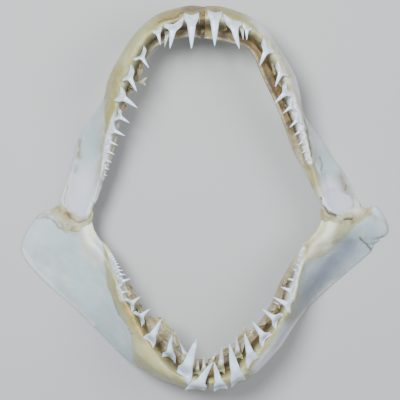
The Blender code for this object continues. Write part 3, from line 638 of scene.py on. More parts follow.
def unit(vectors):
    """The vectors made one long."""
    return vectors / (np.linalg.norm(vectors, axis=-1, keepdims=True) + 1e-12)


def placed(sheet_x, sheet_y, height):
    """True x, y, z of a point that the sheet shows at sheet_x, sheet_y."""
    shrink = (EYE_HEIGHT - height) / (EYE_HEIGHT - TRUE_LEVEL)
    x = (sheet_x - SHEET_MIDDLE[0]) * shrink + SHEET_MIDDLE[0] - ORIGIN_ON_SHEET[0]
    y = (SHEET_MIDDLE[1] - sheet_y) * shrink + ORIGIN_ON_SHEET[1] - SHEET_MIDDLE[1]
    return np.stack(np.broadcast_arrays(x, y, height), axis=-1)


def distance_to_line(sheet, line):
    """Distance of every sheet place to a line through the given places."""
    line = np.array(line, float)
    if len(line) == 1:
        return np.linalg.norm(sheet - line[0], axis=-1)
    start = line[:-1]
    step = np.diff(line, axis=0)
    offset = sheet[..., None, :] - start
    share = np.clip((offset * step).sum(axis=-1) / (step**2).sum(axis=-1), 0, 1)
    return np.linalg.norm(offset - share[..., None] * step, axis=-1).min(axis=-1)


def half_jaw_grid(half, along, across):
    """Sheet places, top and underside heights of a half on a grid.

    along runs from the joint (0) to the symphysis (1), across from the outer
    edge (0) to the mouth edge (1). The middle height and the half thickness of a
    section are smooth curves through its five places, the thickness drawn in to
    nothing at both edges by a superellipse.
    """
    level = half.split("_")[0]
    table = np.array(STATIONS[half], float)
    place = along * (len(table) - 1)
    station = along * LAST_STATION[level]
    profile = dict(PROFILES[level])
    profile["crest across"] = CREST_ACROSS[half]
    value = {name: smooth_curve(station, *curve) for name, curve in profile.items()}
    crest = value["crest across"]
    zero = np.zeros_like(crest)
    ridge = crest * value["ridge share"]
    trough = crest + TROUGH_SHARE * (1 - crest)
    keys = np.stack([zero, ridge, crest, trough, zero + 1], axis=1)
    thick = np.stack([value[name + " thickness"] for name in SECTION_PLACES], axis=1)
    centre = np.stack([value[name + " height"] for name in SECTION_PLACES], axis=1)
    centre[:, 1:-1] -= 0.5 * thick[:, 1:-1]
    spread = np.broadcast_to(across, (len(along), len(across)))
    rounding = np.sqrt(np.clip(1 - np.abs(2 * spread - 1) ** value["edge power"][:, None], 0, 1))
    middle = curve_rows(spread, keys, centre)
    thickness = 0.5 * curve_rows(spread, keys, thick) * rounding
    columns = [free_curve(place, table[:, k])[:, None] for k in range(5)]
    bow = columns[4] * 4 * spread * (1 - spread)
    sheet_x = columns[0] + (columns[2] - columns[0]) * spread
    sheet_y = columns[1] + (columns[3] - columns[1]) * spread + bow
    mouth = unit(np.stack([columns[2] - columns[0], columns[3] - columns[1]], axis=-1))
    if half == "lower_right":
        torn = np.interp(station, *TORN_EDGE)[:, None] * np.clip(1 - spread / TORN_SHARE, 0, 1)
        sheet_x = sheet_x + torn * mouth[..., 0]
        sheet_y = sheet_y + torn * mouth[..., 1]
    zone = (spread[:, :, None] >= keys[:, None, 1:-1]).sum(axis=2)
    low = np.take_along_axis(keys, zone, axis=1)
    high = np.take_along_axis(keys, zone + 1, axis=1)
    return {
        "sheet": np.stack([sheet_x, sheet_y], axis=-1),
        "top": np.maximum(middle + thickness, 0.0),
        "under": np.maximum(middle - thickness, 0.0),
        "zone": zone + (spread - low) / (high - low),
        "mouth": mouth,
        "crest": crest,
    }


def ring_of(top, under):
    """One closed ring per row: along the top, then back along the underside."""
    return np.concatenate([top, under[:, -2:0:-1]], axis=1)


def jaw_rings(grid):
    """Closed rings of true points round the sections of a half jaw's grid."""
    x, y = grid["sheet"][..., 0], grid["sheet"][..., 1]
    return ring_of(placed(x, y, grid["top"]), placed(x, y, grid["under"]))


def ring_normals(rings):
    """Unit normals of a loft's points, pointing away from each ring's middle."""
    around = np.roll(rings, -1, axis=1) - np.roll(rings, 1, axis=1)
    along = np.gradient(rings, axis=0)
    normals = unit(np.cross(around, along))
    outward = rings - rings.mean(axis=1, keepdims=True)
    sign = np.sign((normals * outward).sum(axis=(1, 2)))
    return normals * sign[:, None, None]


def loft_faces(rows, size):
    """Quads between neighbouring closed rings."""
    j, i = np.meshgrid(np.arange(rows - 1), np.arange(size), indexing="ij")
    a = j * size + i
    b = j * size + (i + 1) % size
    return np.stack([a, b, b + size, a + size], axis=-1).reshape(-1, 4).tolist()


def end_faces(base, size):
    """A strip of faces across one ring, from its first point to the opposite one."""
    k = np.arange(size // 2)
    strip = base + np.stack([k, k + 1, size - 1 - k, (size - k) % size], axis=-1)
    return [list(dict.fromkeys(face)) for face in strip.tolist()]


def capped_faces(rings):
    """Quads between neighbouring rings, and a strip across the first and the last."""
    rows, size = rings.shape[:2]
    return loft_faces(rows, size) + end_faces(0, size) + end_faces((rows - 1) * size, size)


class Finish:
    """A material under way: its methods add nodes and give their output."""

    def __init__(self, name):
        self.material = bpy.data.materials.new(name)
        self.material.use_nodes = True
        self.tree = self.material.node_tree
        self.shader = self.tree.nodes["Principled BSDF"]
        self.place = self.tree.nodes.new("ShaderNodeTexCoord").outputs["Object"]

    def put(self, socket, value):
        if isinstance(value, bpy.types.NodeSocket):
            self.tree.links.new(value, socket)
        else:
            socket.default_value = value

    def shade(self, **values):
        for name, value in values.items():
            self.put(self.shader.inputs[name.replace("_", " ")], value)

    def add(self, kind, output, inputs, **settings):
        """One node with its settings and inputs, and the named output of it."""
        node = self.tree.nodes.new("ShaderNode" + kind)
        for name, value in settings.items():
            setattr(node, name, value)
        for socket, value in inputs.items():
            self.put(node.inputs[socket], value)
        return node.outputs[output]

    def mask(self, name):
        return self.add("Attribute", "Fac", {}, attribute_name=name)

    def stretched(self, scale):
        return self.add("Mapping", "Vector", {"Vector": self.place, "Scale": scale})

    def noise(self, scale, detail=4.0, vector=None, roughness=0.55, distortion=0.0):
        inputs = {"Vector": vector or self.place, "Scale": scale, "Detail": detail}
        inputs.update(Roughness=roughness, Distortion=distortion)
        return self.add("TexNoise", "Fac", inputs)

    def cells(self, scale):
        inputs = {"Vector": self.place, "Scale": scale}
        return self.add("TexVoronoi", "Distance", inputs, feature="DISTANCE_TO_EDGE")

    def span(self, value, low, high, to_low=0.0, to_high=1.0):
        inputs = dict(enumerate((value, low, high, to_low, to_high)))
        return self.add("MapRange", "Result", inputs, interpolation_type="SMOOTHSTEP")

    def math(self, operation, first, second):
        return self.add("Math", "Value", {0: first, 1: second}, operation=operation, use_clamp=True)

    def mix(self, share, first, second):
        return self.add("Mix", 2, {0: share, 6: first, 7: second}, data_type="RGBA")

    def stain(self, colour, mask, over, grain=None, *span):
        """One colour laid over another where a mask is, broken up by a grain."""
        share = self.mask(mask)
        if grain:
            share = self.math("MULTIPLY", share, self.span(grain, *span))
        return self.mix(share, colour, tint(over))

    def bump(self, height, distance, normal=None):
        inputs = {"Height": height, "Distance": distance}
        if normal:
            inputs["Normal"] = normal
        return self.add("Bump", "Normal", inputs)


def make_piece(name, points, faces, finish, replaced, masks=None):
    """A closed piece from points in millimetres, its faces turned outwards."""
    low = np.array(CAD_BOUNDS[0], float)
    high = np.array(CAD_BOUNDS[1], float)
    low[2] = max(low[2], 0.0)
    places = np.clip(np.asarray(points).reshape(-1, 3) * MILLIMETRE, low, high)
    mesh = bpy.data.meshes.new(name)
    mesh.from_pydata(places.tolist(), [], faces)
    for mask, values in (masks or {}).items():
        layer = mesh.attributes.new(mask, "FLOAT", "POINT")
        layer.data.foreach_set("value", np.asarray(values, np.float32).ravel())
    work = bmesh.new()
    work.from_mesh(mesh)
    bmesh.ops.remove_doubles(work, verts=work.verts, dist=1e-6)
    bmesh.ops.dissolve_degenerate(work, edges=work.edges, dist=1e-7)
    bmesh.ops.recalc_face_normals(work, faces=work.faces)
    if work.calc_volume(signed=True) < 0:
        bmesh.ops.reverse_faces(work, faces=work.faces)
    for face in work.faces:
        face.smooth = True
    work.to_mesh(mesh)
    work.free()
    if not mesh.polygons:
        raise RuntimeError(name + " has no faces")
    mesh.materials.append(finish)
    piece = bpy.data.objects.new(name, mesh)
    bpy.context.scene.collection.objects.link(piece)
    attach(piece, "root")
    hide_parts(*replaced)
    return piece


def wandering(sheet, points, seed):
    """The sheet places moved about by noise, so that lines drawn on them waver."""
    drift = [noises(points, seed + axis, WANDER, 2) for axis in (0, 1)]
    return sheet + np.stack(drift, axis=-1)


def marked(half, sheet, mask):
    """How strongly the marks of one mask cover each sheet place, from 0 to 1."""
    total = np.zeros(sheet.shape[:-1])
    for name, strength, radius, *line in MARKS[half]:
        if name == mask:
            total = np.maximum(total, strength * bell(distance_to_line(sheet, line), radius))
    return total


def tooth_row(half):
    """The charts of a half's working teeth, the small rear ones crowding together."""
    first, last, count = REAR_TEETH[half]
    shares = np.cumsum(np.append(0.0, REAR_SPACING_RATIO ** np.arange(count - 1)))
    shares /= shares[-1]
    first = np.array(first, float)
    last = np.array(last, float)
    return list(LARGE_TEETH[half]) + [tuple(first + (last - first) * share) for share in shares]


def on_sheet(points):
    """Where the sheet shows true points: the reverse of placed()."""
    shrink = (EYE_HEIGHT - points[..., 2]) / (EYE_HEIGHT - TRUE_LEVEL)
    x = (points[..., 0] + ORIGIN_ON_SHEET[0] - SHEET_MIDDLE[0]) / shrink + SHEET_MIDDLE[0]
    y = SHEET_MIDDLE[1] - (points[..., 1] + SHEET_MIDDLE[1] - ORIGIN_ON_SHEET[1]) / shrink
    return np.stack([x, y], axis=-1)


class SeatFinder:
    """Heights and normals of a half jaw's upper side near one place."""

    def __init__(self, half):
        grid = half_jaw_grid(half, np.linspace(0, 1, SEAT_ROWS), np.linspace(0, 1, SEAT_COLUMNS))
        self.sheet = grid["sheet"].reshape(-1, 2)
        self.height = grid["top"].ravel()
        self.normals = ring_normals(jaw_rings(grid))[:, :SEAT_COLUMNS].reshape(-1, 3)

    def near(self, centre):
        """The part of the surface round a place on the sheet."""
        keep = np.linalg.norm(self.sheet - centre, axis=1) < SEAT_REACH
        part = object.__new__(SeatFinder)
        part.sheet, part.height, part.normals = self.sheet[keep], self.height[keep], self.normals[keep]
        return part

    def weights(self, sheet):
        """How much each point of the surface counts at every given place."""
        away = ((sheet[..., None, :] - self.sheet) ** 2).sum(axis=-1)
        weight = 1.0 / (away + 0.5) ** 3
        return weight / weight.sum(axis=-1, keepdims=True)

    def heights(self, sheet):
        """The upper side's height at every given place."""
        return self.weights(sheet) @ self.height

    def highest(self, sheet):
        """The greatest height within SEAT_SPREAD of each place."""
        steps = SEAT_SPREAD * np.array([(0, 0), (1, 0), (-1, 0), (0, 1), (0, -1)])
        return np.max([self.heights(sheet + step) for step in steps], axis=0)


def tooth_surface(root, tip, labial, run, width, seat, seed):
    """Rings of one tooth, from its tip to the ends of its root's two lobes.

    Half width, flatness and notch are smooth curves of the distance back from the
    tip. A ring is a lens with sharp edges on the crown and an oval on the root. The
    root turns from square to the tooth to the line between its lobes, and its height
    changes from the straight tooth's to that of the jaw under it.
    """
    share = np.linspace(0, 1, TOOTH_RINGS) ** RING_CROWDING
    axis = tip - root
    length = np.linalg.norm(axis)
    axis = axis / length
    labial = unit(labial - axis * (labial @ axis))
    side = np.cross(axis, labial)
    run = run * np.sign(run @ side)
    rooted = fade(share, *ROOT_FROM)
    half_width = (1 - rooted) * smooth_curve(share, *CROWN_HALF_WIDTH) * length
    half_width = half_width + rooted * smooth_curve(share, *ROOT_HALF_WIDTH) * width
    thickness = smooth_curve(share, *FLATNESS) * half_width
    notch = smooth_curve(share, *TOOTH_NOTCH) * width
    angle = 2 * np.pi * np.arange(TOOTH_SIDES) / TOOTH_SIDES
    across = np.cos(angle)
    turned = fade(share, *TURNS_FROM)[:, None]
    sides = unit((1 - turned) * side + turned * run)
    sharp = EDGE_SHARPNESS - EDGE_SOFTENING * fade(share, *SOFTENS_FROM)[:, None]
    depth = np.sign(np.sin(angle)) * np.abs(np.sin(angle)) ** sharp
    depth = np.where(depth > 0, FRONT_DEPTH * depth, depth)
    depth = depth * (1 - GROOVE_DEPTH * fade(share, *GROOVE_FROM)[:, None] * bell(across, GROOVE_WIDTH))
    bend = SWAY * length * np.sin(np.pi * share) * (1 - fade(share, *SWAY_ENDS))
    centre = tip - axis * (length * share)[:, None] - labial * bend[:, None]
    rings = centre[:, None] + (half_width[:, None] * across)[..., None] * sides[:, None]
    rings = rings + (thickness[:, None] * depth)[..., None] * labial
    rings = rings + (notch[:, None] * (1 - np.abs(across) ** 1.4))[..., None] * axis
    uneven = noise(rings, 3.0, seed) * fade(share, 0.6, 0.9)[:, None]
    rings = rings + (ROOT_UNEVEN * uneven)[..., None] * axis
    straight = rings[..., 2]
    ground = seat.highest(on_sheet(rings)) + ROOT_PROUD + thickness[:, None] * depth
    lying = np.clip(ground, straight - ROOT_DROP, straight + ROOT_CLIMB)
    lies = fade(share, *LIES_FROM)[:, None]
    rings[..., 2] = straight * (1 - lies) + lying * lies
    shares = np.repeat(share[:, None], TOOTH_SIDES, axis=1)
    shares = shares + 0.03 * np.cos(2 * angle) * (share[:, None] > 0.3)
    middle = (share - 0.5 * notch / length)[:, None]
    # Painted shade over the middle of the root, where its groove runs.
    core = bell(across, ROOT_SHADE_WIDTH) * fade(middle, 0.58, 0.72) * fade(-middle, -0.98, -0.8)
    return rings, {"share": shares, "core": core}


def set_tooth(finder, chart, rise, seed):
    """One tooth's rings, set on the jaw so that its crown clears the crest."""
    tip_sheet, lobe_a, lobe_b = np.array(chart, float).reshape(3, 2)
    root_sheet = 0.5 * (lobe_a + lobe_b)
    reach = tip_sheet - root_sheet
    width = np.hypot(*(lobe_b - lobe_a))
    length = np.hypot(*reach)
    seat = finder.near(root_sheet)
    shares = np.array(SEAT_SHARES)
    line = root_sheet + shares[:, None] * reach
    beside = 0.3 * (lobe_b - lobe_a)
    heights = np.max([seat.heights(line + step * beside) for step in (-1, 0, 1)], axis=0)
    level = (heights - rise * length * shares).max() + ROOT_PROUD
    normal = unit(seat.weights(root_sheet) @ seat.normals)
    root = placed(*root_sheet, level)
    tip = placed(*tip_sheet, level + rise * length)
    run = unit(placed(*lobe_b, level) - placed(*lobe_a, level))
    labial = normal + np.array([0.0, 0.0, 1.5])
    return tooth_surface(root, tip, labial, run, width, seat, seed)


def joined(made):
    """Several lofts and their masks as one set of points, faces and masks."""
    points = []
    faces = []
    for rings, masks in made:
        base = sum(len(p) for p in points)
        faces += [[base + k for k in face] for face in loft_faces(*rings.shape[:2])]
        points.append(rings.reshape(-1, 3))
    masks = {name: np.concatenate([part[name].ravel() for rings, part in made]) for name in masks}
    return np.concatenate(points), faces, masks


def tint(colour):
    """The colour as a shader takes it."""
    return (*colour, 1.0)


def shaded(colour, factor):
    """The colour made darker or lighter, as a shader takes it."""
    return tuple(min(1.0, c * factor) for c in colour[:3]) + (1.0,)


def cartilage_finish(colours):
    """Dried cartilage: bluish blade, cream band, ochre gum, fine mosaic grain, painted shade and light."""
    f = Finish("dried_cartilage")
    broad = f.noise(28, 5)
    fine = f.noise(140, 5)
    streaks = f.noise(60, 6, f.stretched((1.0, 0.35, 1.0)))
    blade = f.mix(f.span(broad, 0.3, 0.7), tint(colours.blade), shaded(colours.blade, 0.86))
    blade = f.mix(f.math("MULTIPLY", f.span(streaks, 0.45, 0.75), 0.35), blade, tint(colours.blade_warm))
    band = f.mix(f.span(f.noise(45, 5), 0.35, 0.65), tint(colours.band), tint(colours.band_deep))
    colour = f.mix(f.mask("band"), blade, band)
    for stain in (
        ("cream", colours.ridge),
        # The grey stain is painted shade in grooves and hollows.
        ("grey", colours.shadow),
        # The lilac stain is a pale tint, partly painted light.
        ("lilac", colours.lilac, broad, 0.2, 0.6, 0.6, 1.0),
        # Painted shade laid over the lower right blade.
        ("painted_blade_shade", colours.painted_blade_shade, broad, 0.25, 0.7, 1.0, 0.75),
        ("rim", colours.rim),
        ("gum", colours.gum, f.noise(120, 6), 0.28, 0.55),
        ("chalk", colours.chalk, f.noise(230, 5), 0.3, 0.5, 0.6, 1.0),
        ("flesh", colours.flesh, f.noise(150, 6), 0.25, 0.55, 0.35, 1.0),
        ("ochre", colours.ochre, f.noise(170, 6), 0.25, 0.6, 0.35, 1.0),
        ("orange", colours.orange, fine, 0.3, 0.6, 0.4, 1.0),
        ("pocket", colours.pocket, f.noise(90, 5), 0.2, 0.6, 0.6, 1.0),
        ("dark", colours.dark),
    ):
        colour = f.stain(colour, *stain)
    specks = f.span(f.noise(420, 3), 0.66, 0.72)
    colour = f.mix(f.math("MULTIPLY", specks, 0.22), colour, tint(colours.ochre))
    f.shade(Base_Color=colour, Roughness=f.span(fine, 0.3, 0.7, 0.34, 0.52))
    f.shade(Subsurface_Weight=0.12, Subsurface_Scale=0.003, Subsurface_Radius=(1.0, 0.8, 0.55))
    f.shade(Coat_Weight=0.12, Coat_Roughness=0.25)
    grain = f.bump(f.span(f.cells(1500), 0.0, 0.25), 0.00004)
    ripples = f.bump(streaks, 0.0005, grain)
    f.shade(Normal=f.bump(fine, 0.0003, ripples))
    return f.material


def tooth_finish(colours, name, enamel, root):
    """Glossy enamel on the crown, a neck line, and a chalky root with painted shade down its middle."""
    f = Finish(name)
    share = f.mask("share")
    wavy = f.math("ADD", share, f.span(f.noise(500, 3), 0.2, 0.8, -0.02, 0.02))
    neck = f.span(wavy, 0.60, 0.68)
    streak = f.noise(300, 4)
    crown = f.mix(f.span(streak, 0.35, 0.7), tint(enamel), shaded(enamel, 0.93))
    chalk = f.mix(f.span(f.noise(260, 5), 0.35, 0.65), tint(root), shaded(root, 0.88))
    chalk = f.mix(f.span(wavy, 0.86, 1.02, 0.0, 0.12), chalk, tint(colours.band_deep))
    line = f.math("MULTIPLY", f.span(wavy, 0.58, 0.62), f.span(wavy, 0.67, 0.62))
    # Painted shade down the middle of the root.
    chalk = f.stain(chalk, "core", colours.core, f.noise(200, 4), 0.3, 0.6, 0.3, 0.9)
    colour = f.mix(neck, crown, chalk)
    colour = f.mix(f.math("MULTIPLY", line, 0.35), colour, tint(colours.neck))
    f.shade(Base_Color=colour, Roughness=f.span(neck, 0.0, 1.0, 0.16, 0.5))
    f.shade(Subsurface_Weight=0.15, Subsurface_Scale=0.0015, Subsurface_Radius=(1.0, 0.9, 0.8))
    f.shade(Coat_Weight=0.25, Coat_Roughness=0.1)
    pits = f.math("MULTIPLY", f.noise(900, 4), neck)
    f.shade(Normal=f.bump(pits, 0.0004, f.bump(streak, 0.00008)))
    return f.material


def membrane_finish(colours):
    """Dried membrane: brown in the pockets, cream and thin at its torn rim."""
    f = Finish("dried_membrane")
    lip = f.mask("lip")
    broad = f.noise(70, 6, roughness=0.65, distortion=0.6)
    folds = f.noise(110, 5, f.stretched((1.0, 1.0, 0.3)), distortion=1.2)
    colour = f.mix(f.span(broad, 0.35, 0.65), tint(colours.pocket), tint(colours.membrane))
    pale = f.mix(f.span(folds, 0.35, 0.65), tint(colours.flesh), tint(colours.lip))
    colour = f.mix(f.mask("brown"), pale, colour)
    rim = f.mix(f.span(f.noise(60, 5), 0.35, 0.65), tint(colours.lip), tint(colours.olive))
    colour = f.mix(f.math("MULTIPLY", lip, f.span(folds, 0.2, 0.5, 0.6, 1.0)), colour, rim)
    wall = f.mix(f.span(broad, 0.3, 0.7), tint(colours.olive), tint(colours.band_deep))
    colour = f.mix(f.mask("wall"), colour, wall)
    f.shade(Base_Color=colour, Roughness=f.span(broad, 0.3, 0.7, 0.42, 0.62))
    f.shade(Subsurface_Weight=0.1, Subsurface_Scale=0.002, Subsurface_Radius=(1.0, 0.6, 0.3))
    f.shade(Coat_Weight=0.1, Coat_Roughness=0.3)
    f.shade(Normal=f.bump(folds, 0.001, f.bump(f.noise(500, 5), 0.0003)))
    return f.material


def ligament_finish(colours):
    """Dried ligament: cream and olive fibres with ochre stains and dark pits."""
    f = Finish("dried_ligament")
    fibres = f.noise(90, 7, f.stretched((0.5, 1.6, 1.0)), roughness=0.65, distortion=0.8)
    colour = f.mix(f.span(fibres, 0.35, 0.65), tint(colours.ligament), tint(colours.olive))
    colour = f.mix(f.span(f.noise(40, 5), 0.4, 0.7), colour, tint(colours.band))
    colour = f.stain(colour, "cream", colours.ridge, fibres, 0.2, 0.5, 0.6, 1.0)
    colour = f.stain(colour, "ochre", colours.ochre)
    colour = f.stain(colour, "dark", colours.dark)
    f.shade(Base_Color=colour, Roughness=f.span(fibres, 0.3, 0.7, 0.4, 0.6))
    f.shade(Subsurface_Weight=0.12, Subsurface_Scale=0.002, Subsurface_Radius=(1.0, 0.7, 0.4))
    f.shade(Normal=f.bump(fibres, 0.0012, f.bump(f.noise(600, 4), 0.0003)))
    return f.material


def symphysis_finish(colours):
    """The amber cartilage and gristle between the two halves."""
    f = Finish("amber_gristle")
    veins = f.noise(160, 6, f.stretched((2.0, 0.5, 1.0)), distortion=0.8)
    colour = f.mix(f.span(veins, 0.35, 0.65), tint(colours.ochre), tint(colours.pocket))
    colour = f.mix(f.span(f.noise(90, 4), 0.55, 0.75), colour, tint(colours.ligament))
    f.shade(Base_Color=colour, Roughness=0.38, Coat_Weight=0.25, Coat_Roughness=0.25)
    f.shade(Subsurface_Weight=0.15, Subsurface_Scale=0.002, Subsurface_Radius=(1.0, 0.5, 0.2))
    f.shade(Normal=f.bump(veins, 0.0012))
    return f.material


def jaw_columns():
    """Places across a section, closer together at both edges."""
    even = np.linspace(0, 1, JAW_COLUMNS + 1)
    return EDGE_CLUSTERING * (0.5 - 0.5 * np.cos(np.pi * even)) + (1 - EDGE_CLUSTERING) * even


def cartilage_surface(half, relief):
    """Displaced rings of a half jaw, and the masks of its finish.

    To the smooth loft it adds noise of three sizes, the grooves and ridges of
    RELIEF, and a gum that swells round the roots of the teeth.
    """
    grid = half_jaw_grid(half, np.linspace(0, 1, JAW_ROWS), jaw_columns())
    rings = jaw_rings(grid)
    sheet = ring_of(grid["sheet"], grid["sheet"])
    top = ring_of(np.ones_like(grid["top"]), np.zeros_like(grid["top"]))
    zone = ring_of(grid["zone"], grid["zone"])
    side = half.split("_")[1]
    seed = SEEDS[half]
    wavering = wandering(sheet, rings, seed + 40)
    rise, gum, flesh, chalk = np.zeros((4, *top.shape))
    for height, half_width, *line in RELIEF[half]:
        rise += top * height * bell(distance_to_line(wavering, line), half_width)
    for place, chart in enumerate(tooth_row(half)):
        tip, *lobes = np.array(chart, float).reshape(3, 2)
        width = np.linalg.norm(lobes[1] - lobes[0])
        away = distance_to_line(sheet, lobes + 0.25 * (tip - 0.5 * sum(lobes)))
        gum = np.maximum(gum, bell(away, GUM_WIDTH[0] * width + GUM_WIDTH[1]))
        rise += top * GUM_SWELL * width * bell(away - 0.3 * width, 0.2 * width)
        if place < CHALKY_FROM:
            flesh = np.maximum(flesh, FLESH_STRENGTH * bell(away, FLESH_WIDTH[0] * width + FLESH_WIDTH[1]))
        else:
            reach = CHALK_WIDTH[0] * width + CHALK_WIDTH[1]
            chalk = np.maximum(chalk, top * np.exp(-((away / reach) ** 4)))
    crumbs = CHALK_RISE * chalk * (0.8 + 0.5 * noise(rings, 2.6, seed + 6))
    rise += noises(rings, seed, UNEVEN) * (1 - SMOOTHED_BY_GUM * top * gum) + crumbs
    rise *= relief / RELIEF_AS_DRAWN
    edge = fade(np.minimum(zone, 4 - zone), 0.0, 0.05)
    rings = rings + ring_normals(rings) * (rise * (0.35 + 0.65 * edge))[..., None]
    border = np.interp(sheet[..., 1], *BAND_EDGE[half])
    wander = BAND_WANDER[0] * noise(rings, BAND_WANDER[1], seed + 3)
    hollow = np.interp(sheet[..., 1], *HOLLOW_BROWN[half])
    masks = {
        "band": fade(BAND_SIDE[side] * (sheet[..., 0] - border) + wander, *BAND_BLEND),
        "gum": top * np.clip(gum * 1.1, 0, 1) * (1 - 0.85 * marked(half, wavering, "lilac")),
        "flesh": top * flesh,
        "chalk": chalk,
        "pocket": top * fade(zone, 2.15, 2.7) * fade(gum, 0.02, 0.2) * hollow,
    }
    # Of these, grey and the lower right blade's mask are painted shade, and lilac is partly painted light.
    for mask in ("cream", "lilac", "painted_blade_shade", "grey", "rim", "ochre", "orange", "dark"):
        masks[mask] = top * marked(half, wavering, mask)
    return rings, masks


def lip_surface(half, rise, thickness):
    """Rings of the membrane over the mouth side of a half jaw.

    Its path across is a smooth curve through LIP_PATH, and its rim rises and falls
    like a torn edge.
    """
    along = np.linspace(LIP_START, 1, LIP_ROWS)
    grid = half_jaw_grid(half, along, np.linspace(0, 1, LIP_SAMPLES + 1))
    keys = np.linspace(0, 1, len(LIP_PATH))
    q = np.linspace(0, 1, LIP_COLUMNS)
    place, overhang, down, lift = (smooth_curve(q, keys, column) for column in np.array(LIP_PATH).T)
    edge_y = grid["sheet"][:, -1, 1]
    strength = np.interp(edge_y, *LIP_STRENGTH[half])[:, None]
    grow = fade(along, LIP_START, LIP_START + 0.2)[:, None]
    crest = 1 - (1 - grid["crest"][:, None]) * (0.08 + 0.92 * grow)
    across = crest + (1 - crest) * place
    index = np.clip(across * LIP_SAMPLES, 0, LIP_SAMPLES - 0.001)
    low = index.astype(int)
    part = index - low

    def sample(table):
        """The table's values at the places across that the path takes."""
        at, share = (low[..., None], part[..., None]) if table.ndim == 3 else (low, part)
        here = np.take_along_axis(table, at, axis=1)
        there = np.take_along_axis(table, at + 1, axis=1)
        return here + (there - here) * share

    standing = LIP_LEAST + (1 - LIP_LEAST) * strength
    sheet = sample(grid["sheet"]) + grid["mouth"] * (overhang * standing)[..., None]
    top = sample(grid["top"])
    base = top + (sample(grid["under"]) - top) * down
    middle = placed(sheet[..., 0], sheet[..., 1], base)
    seed = SEEDS[half] + 5
    ragged = noises(middle, seed, LIP_TORN)
    height = (lift * standing * rise / LIP_RISE_AS_DRAWN + bell(q - 0.45, 0.12) * ragged * strength) * grow
    height = height + 0.9 * noise(middle, 6, seed + 2) * bell(q - 0.2, 0.14) * grow
    middle = placed(sheet[..., 0], sheet[..., 1], np.maximum(base + height, 0.5))
    along_step = np.gradient(middle, axis=0)
    across_step = np.gradient(middle, axis=1)
    normal = unit(np.cross(across_step, along_step))
    normal = normal * np.sign(normal[:, :1, 2:] + 1e-9)
    thick = thickness * (0.5 + 0.5 * np.sin(np.pi * q)) * (1 + 0.3 * noise(middle, 5, seed + 3))
    offset = normal * thick[..., None] / 2
    rings = np.concatenate([middle + offset, (middle - offset)[:, ::-1]], axis=1)
    lip = fade(q, 0.3, 0.4) * fade(-q, -0.62, -0.5)
    wall = fade(q, 0.52, 0.66)
    brown = np.interp(edge_y, *HOLLOW_BROWN[half])[:, None]
    tinted = LIP_LEAST_TINT + (1 - LIP_LEAST_TINT) * strength
    masks = {
        "lip": np.concatenate([lip, lip[::-1]]) * tinted,
        "brown": np.repeat(brown, 2 * LIP_COLUMNS, axis=1),
        "wall": np.tile(np.concatenate([wall, wall[::-1]]), (LIP_ROWS, 1)),
    }
    return rings, masks


def scrap_surface(scrap, finder, thickness, raggedness, seed, thinning=0.0):
    """Rings of one scrap of tissue, from the pole on its top to the one below.

    It is a sphere pressed flat. Noise makes its outline ragged and its sheet
    wavy, and its height grows towards the rim, so that it is hollow on top. A
    jaw end also thins out towards the top of the sheet.
    """
    x, y, half_length, half_width, turn, lift, rim, brown, olive = scrap
    polar = np.linspace(0, np.pi, SCRAP_ROWS)[:, None]
    angle = 2 * np.pi * np.arange(SCRAP_SIDES) / SCRAP_SIDES
    out = np.abs(np.sin(polar)) ** SCRAP_FULLNESS
    flat = np.zeros((SCRAP_ROWS, SCRAP_SIDES))
    shape = np.stack([half_length * out * np.cos(angle), half_width * out * np.sin(angle), flat], axis=-1)
    ragged = noises(shape + (x, y, 0), seed, SCRAP_TORN)
    shape = shape * (1 + raggedness * ragged[..., None])
    cos, sin = np.cos(np.radians(turn)), np.sin(np.radians(turn))
    sheet_x = x + cos * shape[..., 0] - sin * shape[..., 1]
    sheet_y = y + sin * shape[..., 0] + cos * shape[..., 1]
    wave = noises(shape + (x, y, 0), seed + 2, SCRAP_WAVY)
    base = finder.near(np.array([x, y])).heights(np.stack([sheet_x, sheet_y], axis=-1)) + lift
    thin = thickness * (1 - thinning * fade(y - sheet_y, *JAW_END_THINS))
    height = base + thin * np.cos(polar) + rim * out**2 + SCRAP_WAVE * raggedness * wave * out
    edge = np.broadcast_to(fade(out, 0.86, 0.99), height.shape)
    masks = {
        "lip": edge * (0.9 - 0.6 * olive),
        "brown": (0.45 + 0.55 * brown) * (1 - 0.8 * edge),
        "wall": 0.85 * olive * (1 - 0.4 * edge),
    }
    return placed(sheet_x, sheet_y, height), masks


class JawSizes(bpy.types.PropertyGroup):
    """Sizes that a user may change."""

    relief: FloatProperty(
        name="Relief", description="Depth of the cartilage's unevenness",
        default=0.0005, min=0.0, max=0.002, unit="LENGTH", subtype="DISTANCE",
    )
    lip_rise: FloatProperty(
        name="Lip Rise", description="How far the membrane's rim stands above the mouth edge",
        default=0.0032, min=0.0, max=0.008, unit="LENGTH", subtype="DISTANCE",
    )
    lip_thickness: FloatProperty(
        name="Lip Thickness", description="Thickness of the dried membrane",
        default=0.0009, min=0.0003, max=0.003, unit="LENGTH", subtype="DISTANCE",
    )
    capsule_swell: FloatProperty(
        name="Capsule Swell", description="How far the joint capsule stands out from the cartilage",
        default=0.0012, min=0.0, max=0.005, unit="LENGTH", subtype="DISTANCE",
    )
    floor_size: FloatProperty(
        name="Floor Size", description="Width of the floor",
        default=6.0, min=1.0, max=20.0, unit="LENGTH", subtype="DISTANCE",
    )


def colour_property(name, description, default):
    return FloatVectorProperty(
        name=name, description=description, default=default, subtype="COLOR", size=3, min=0.0, max=1.0
    )


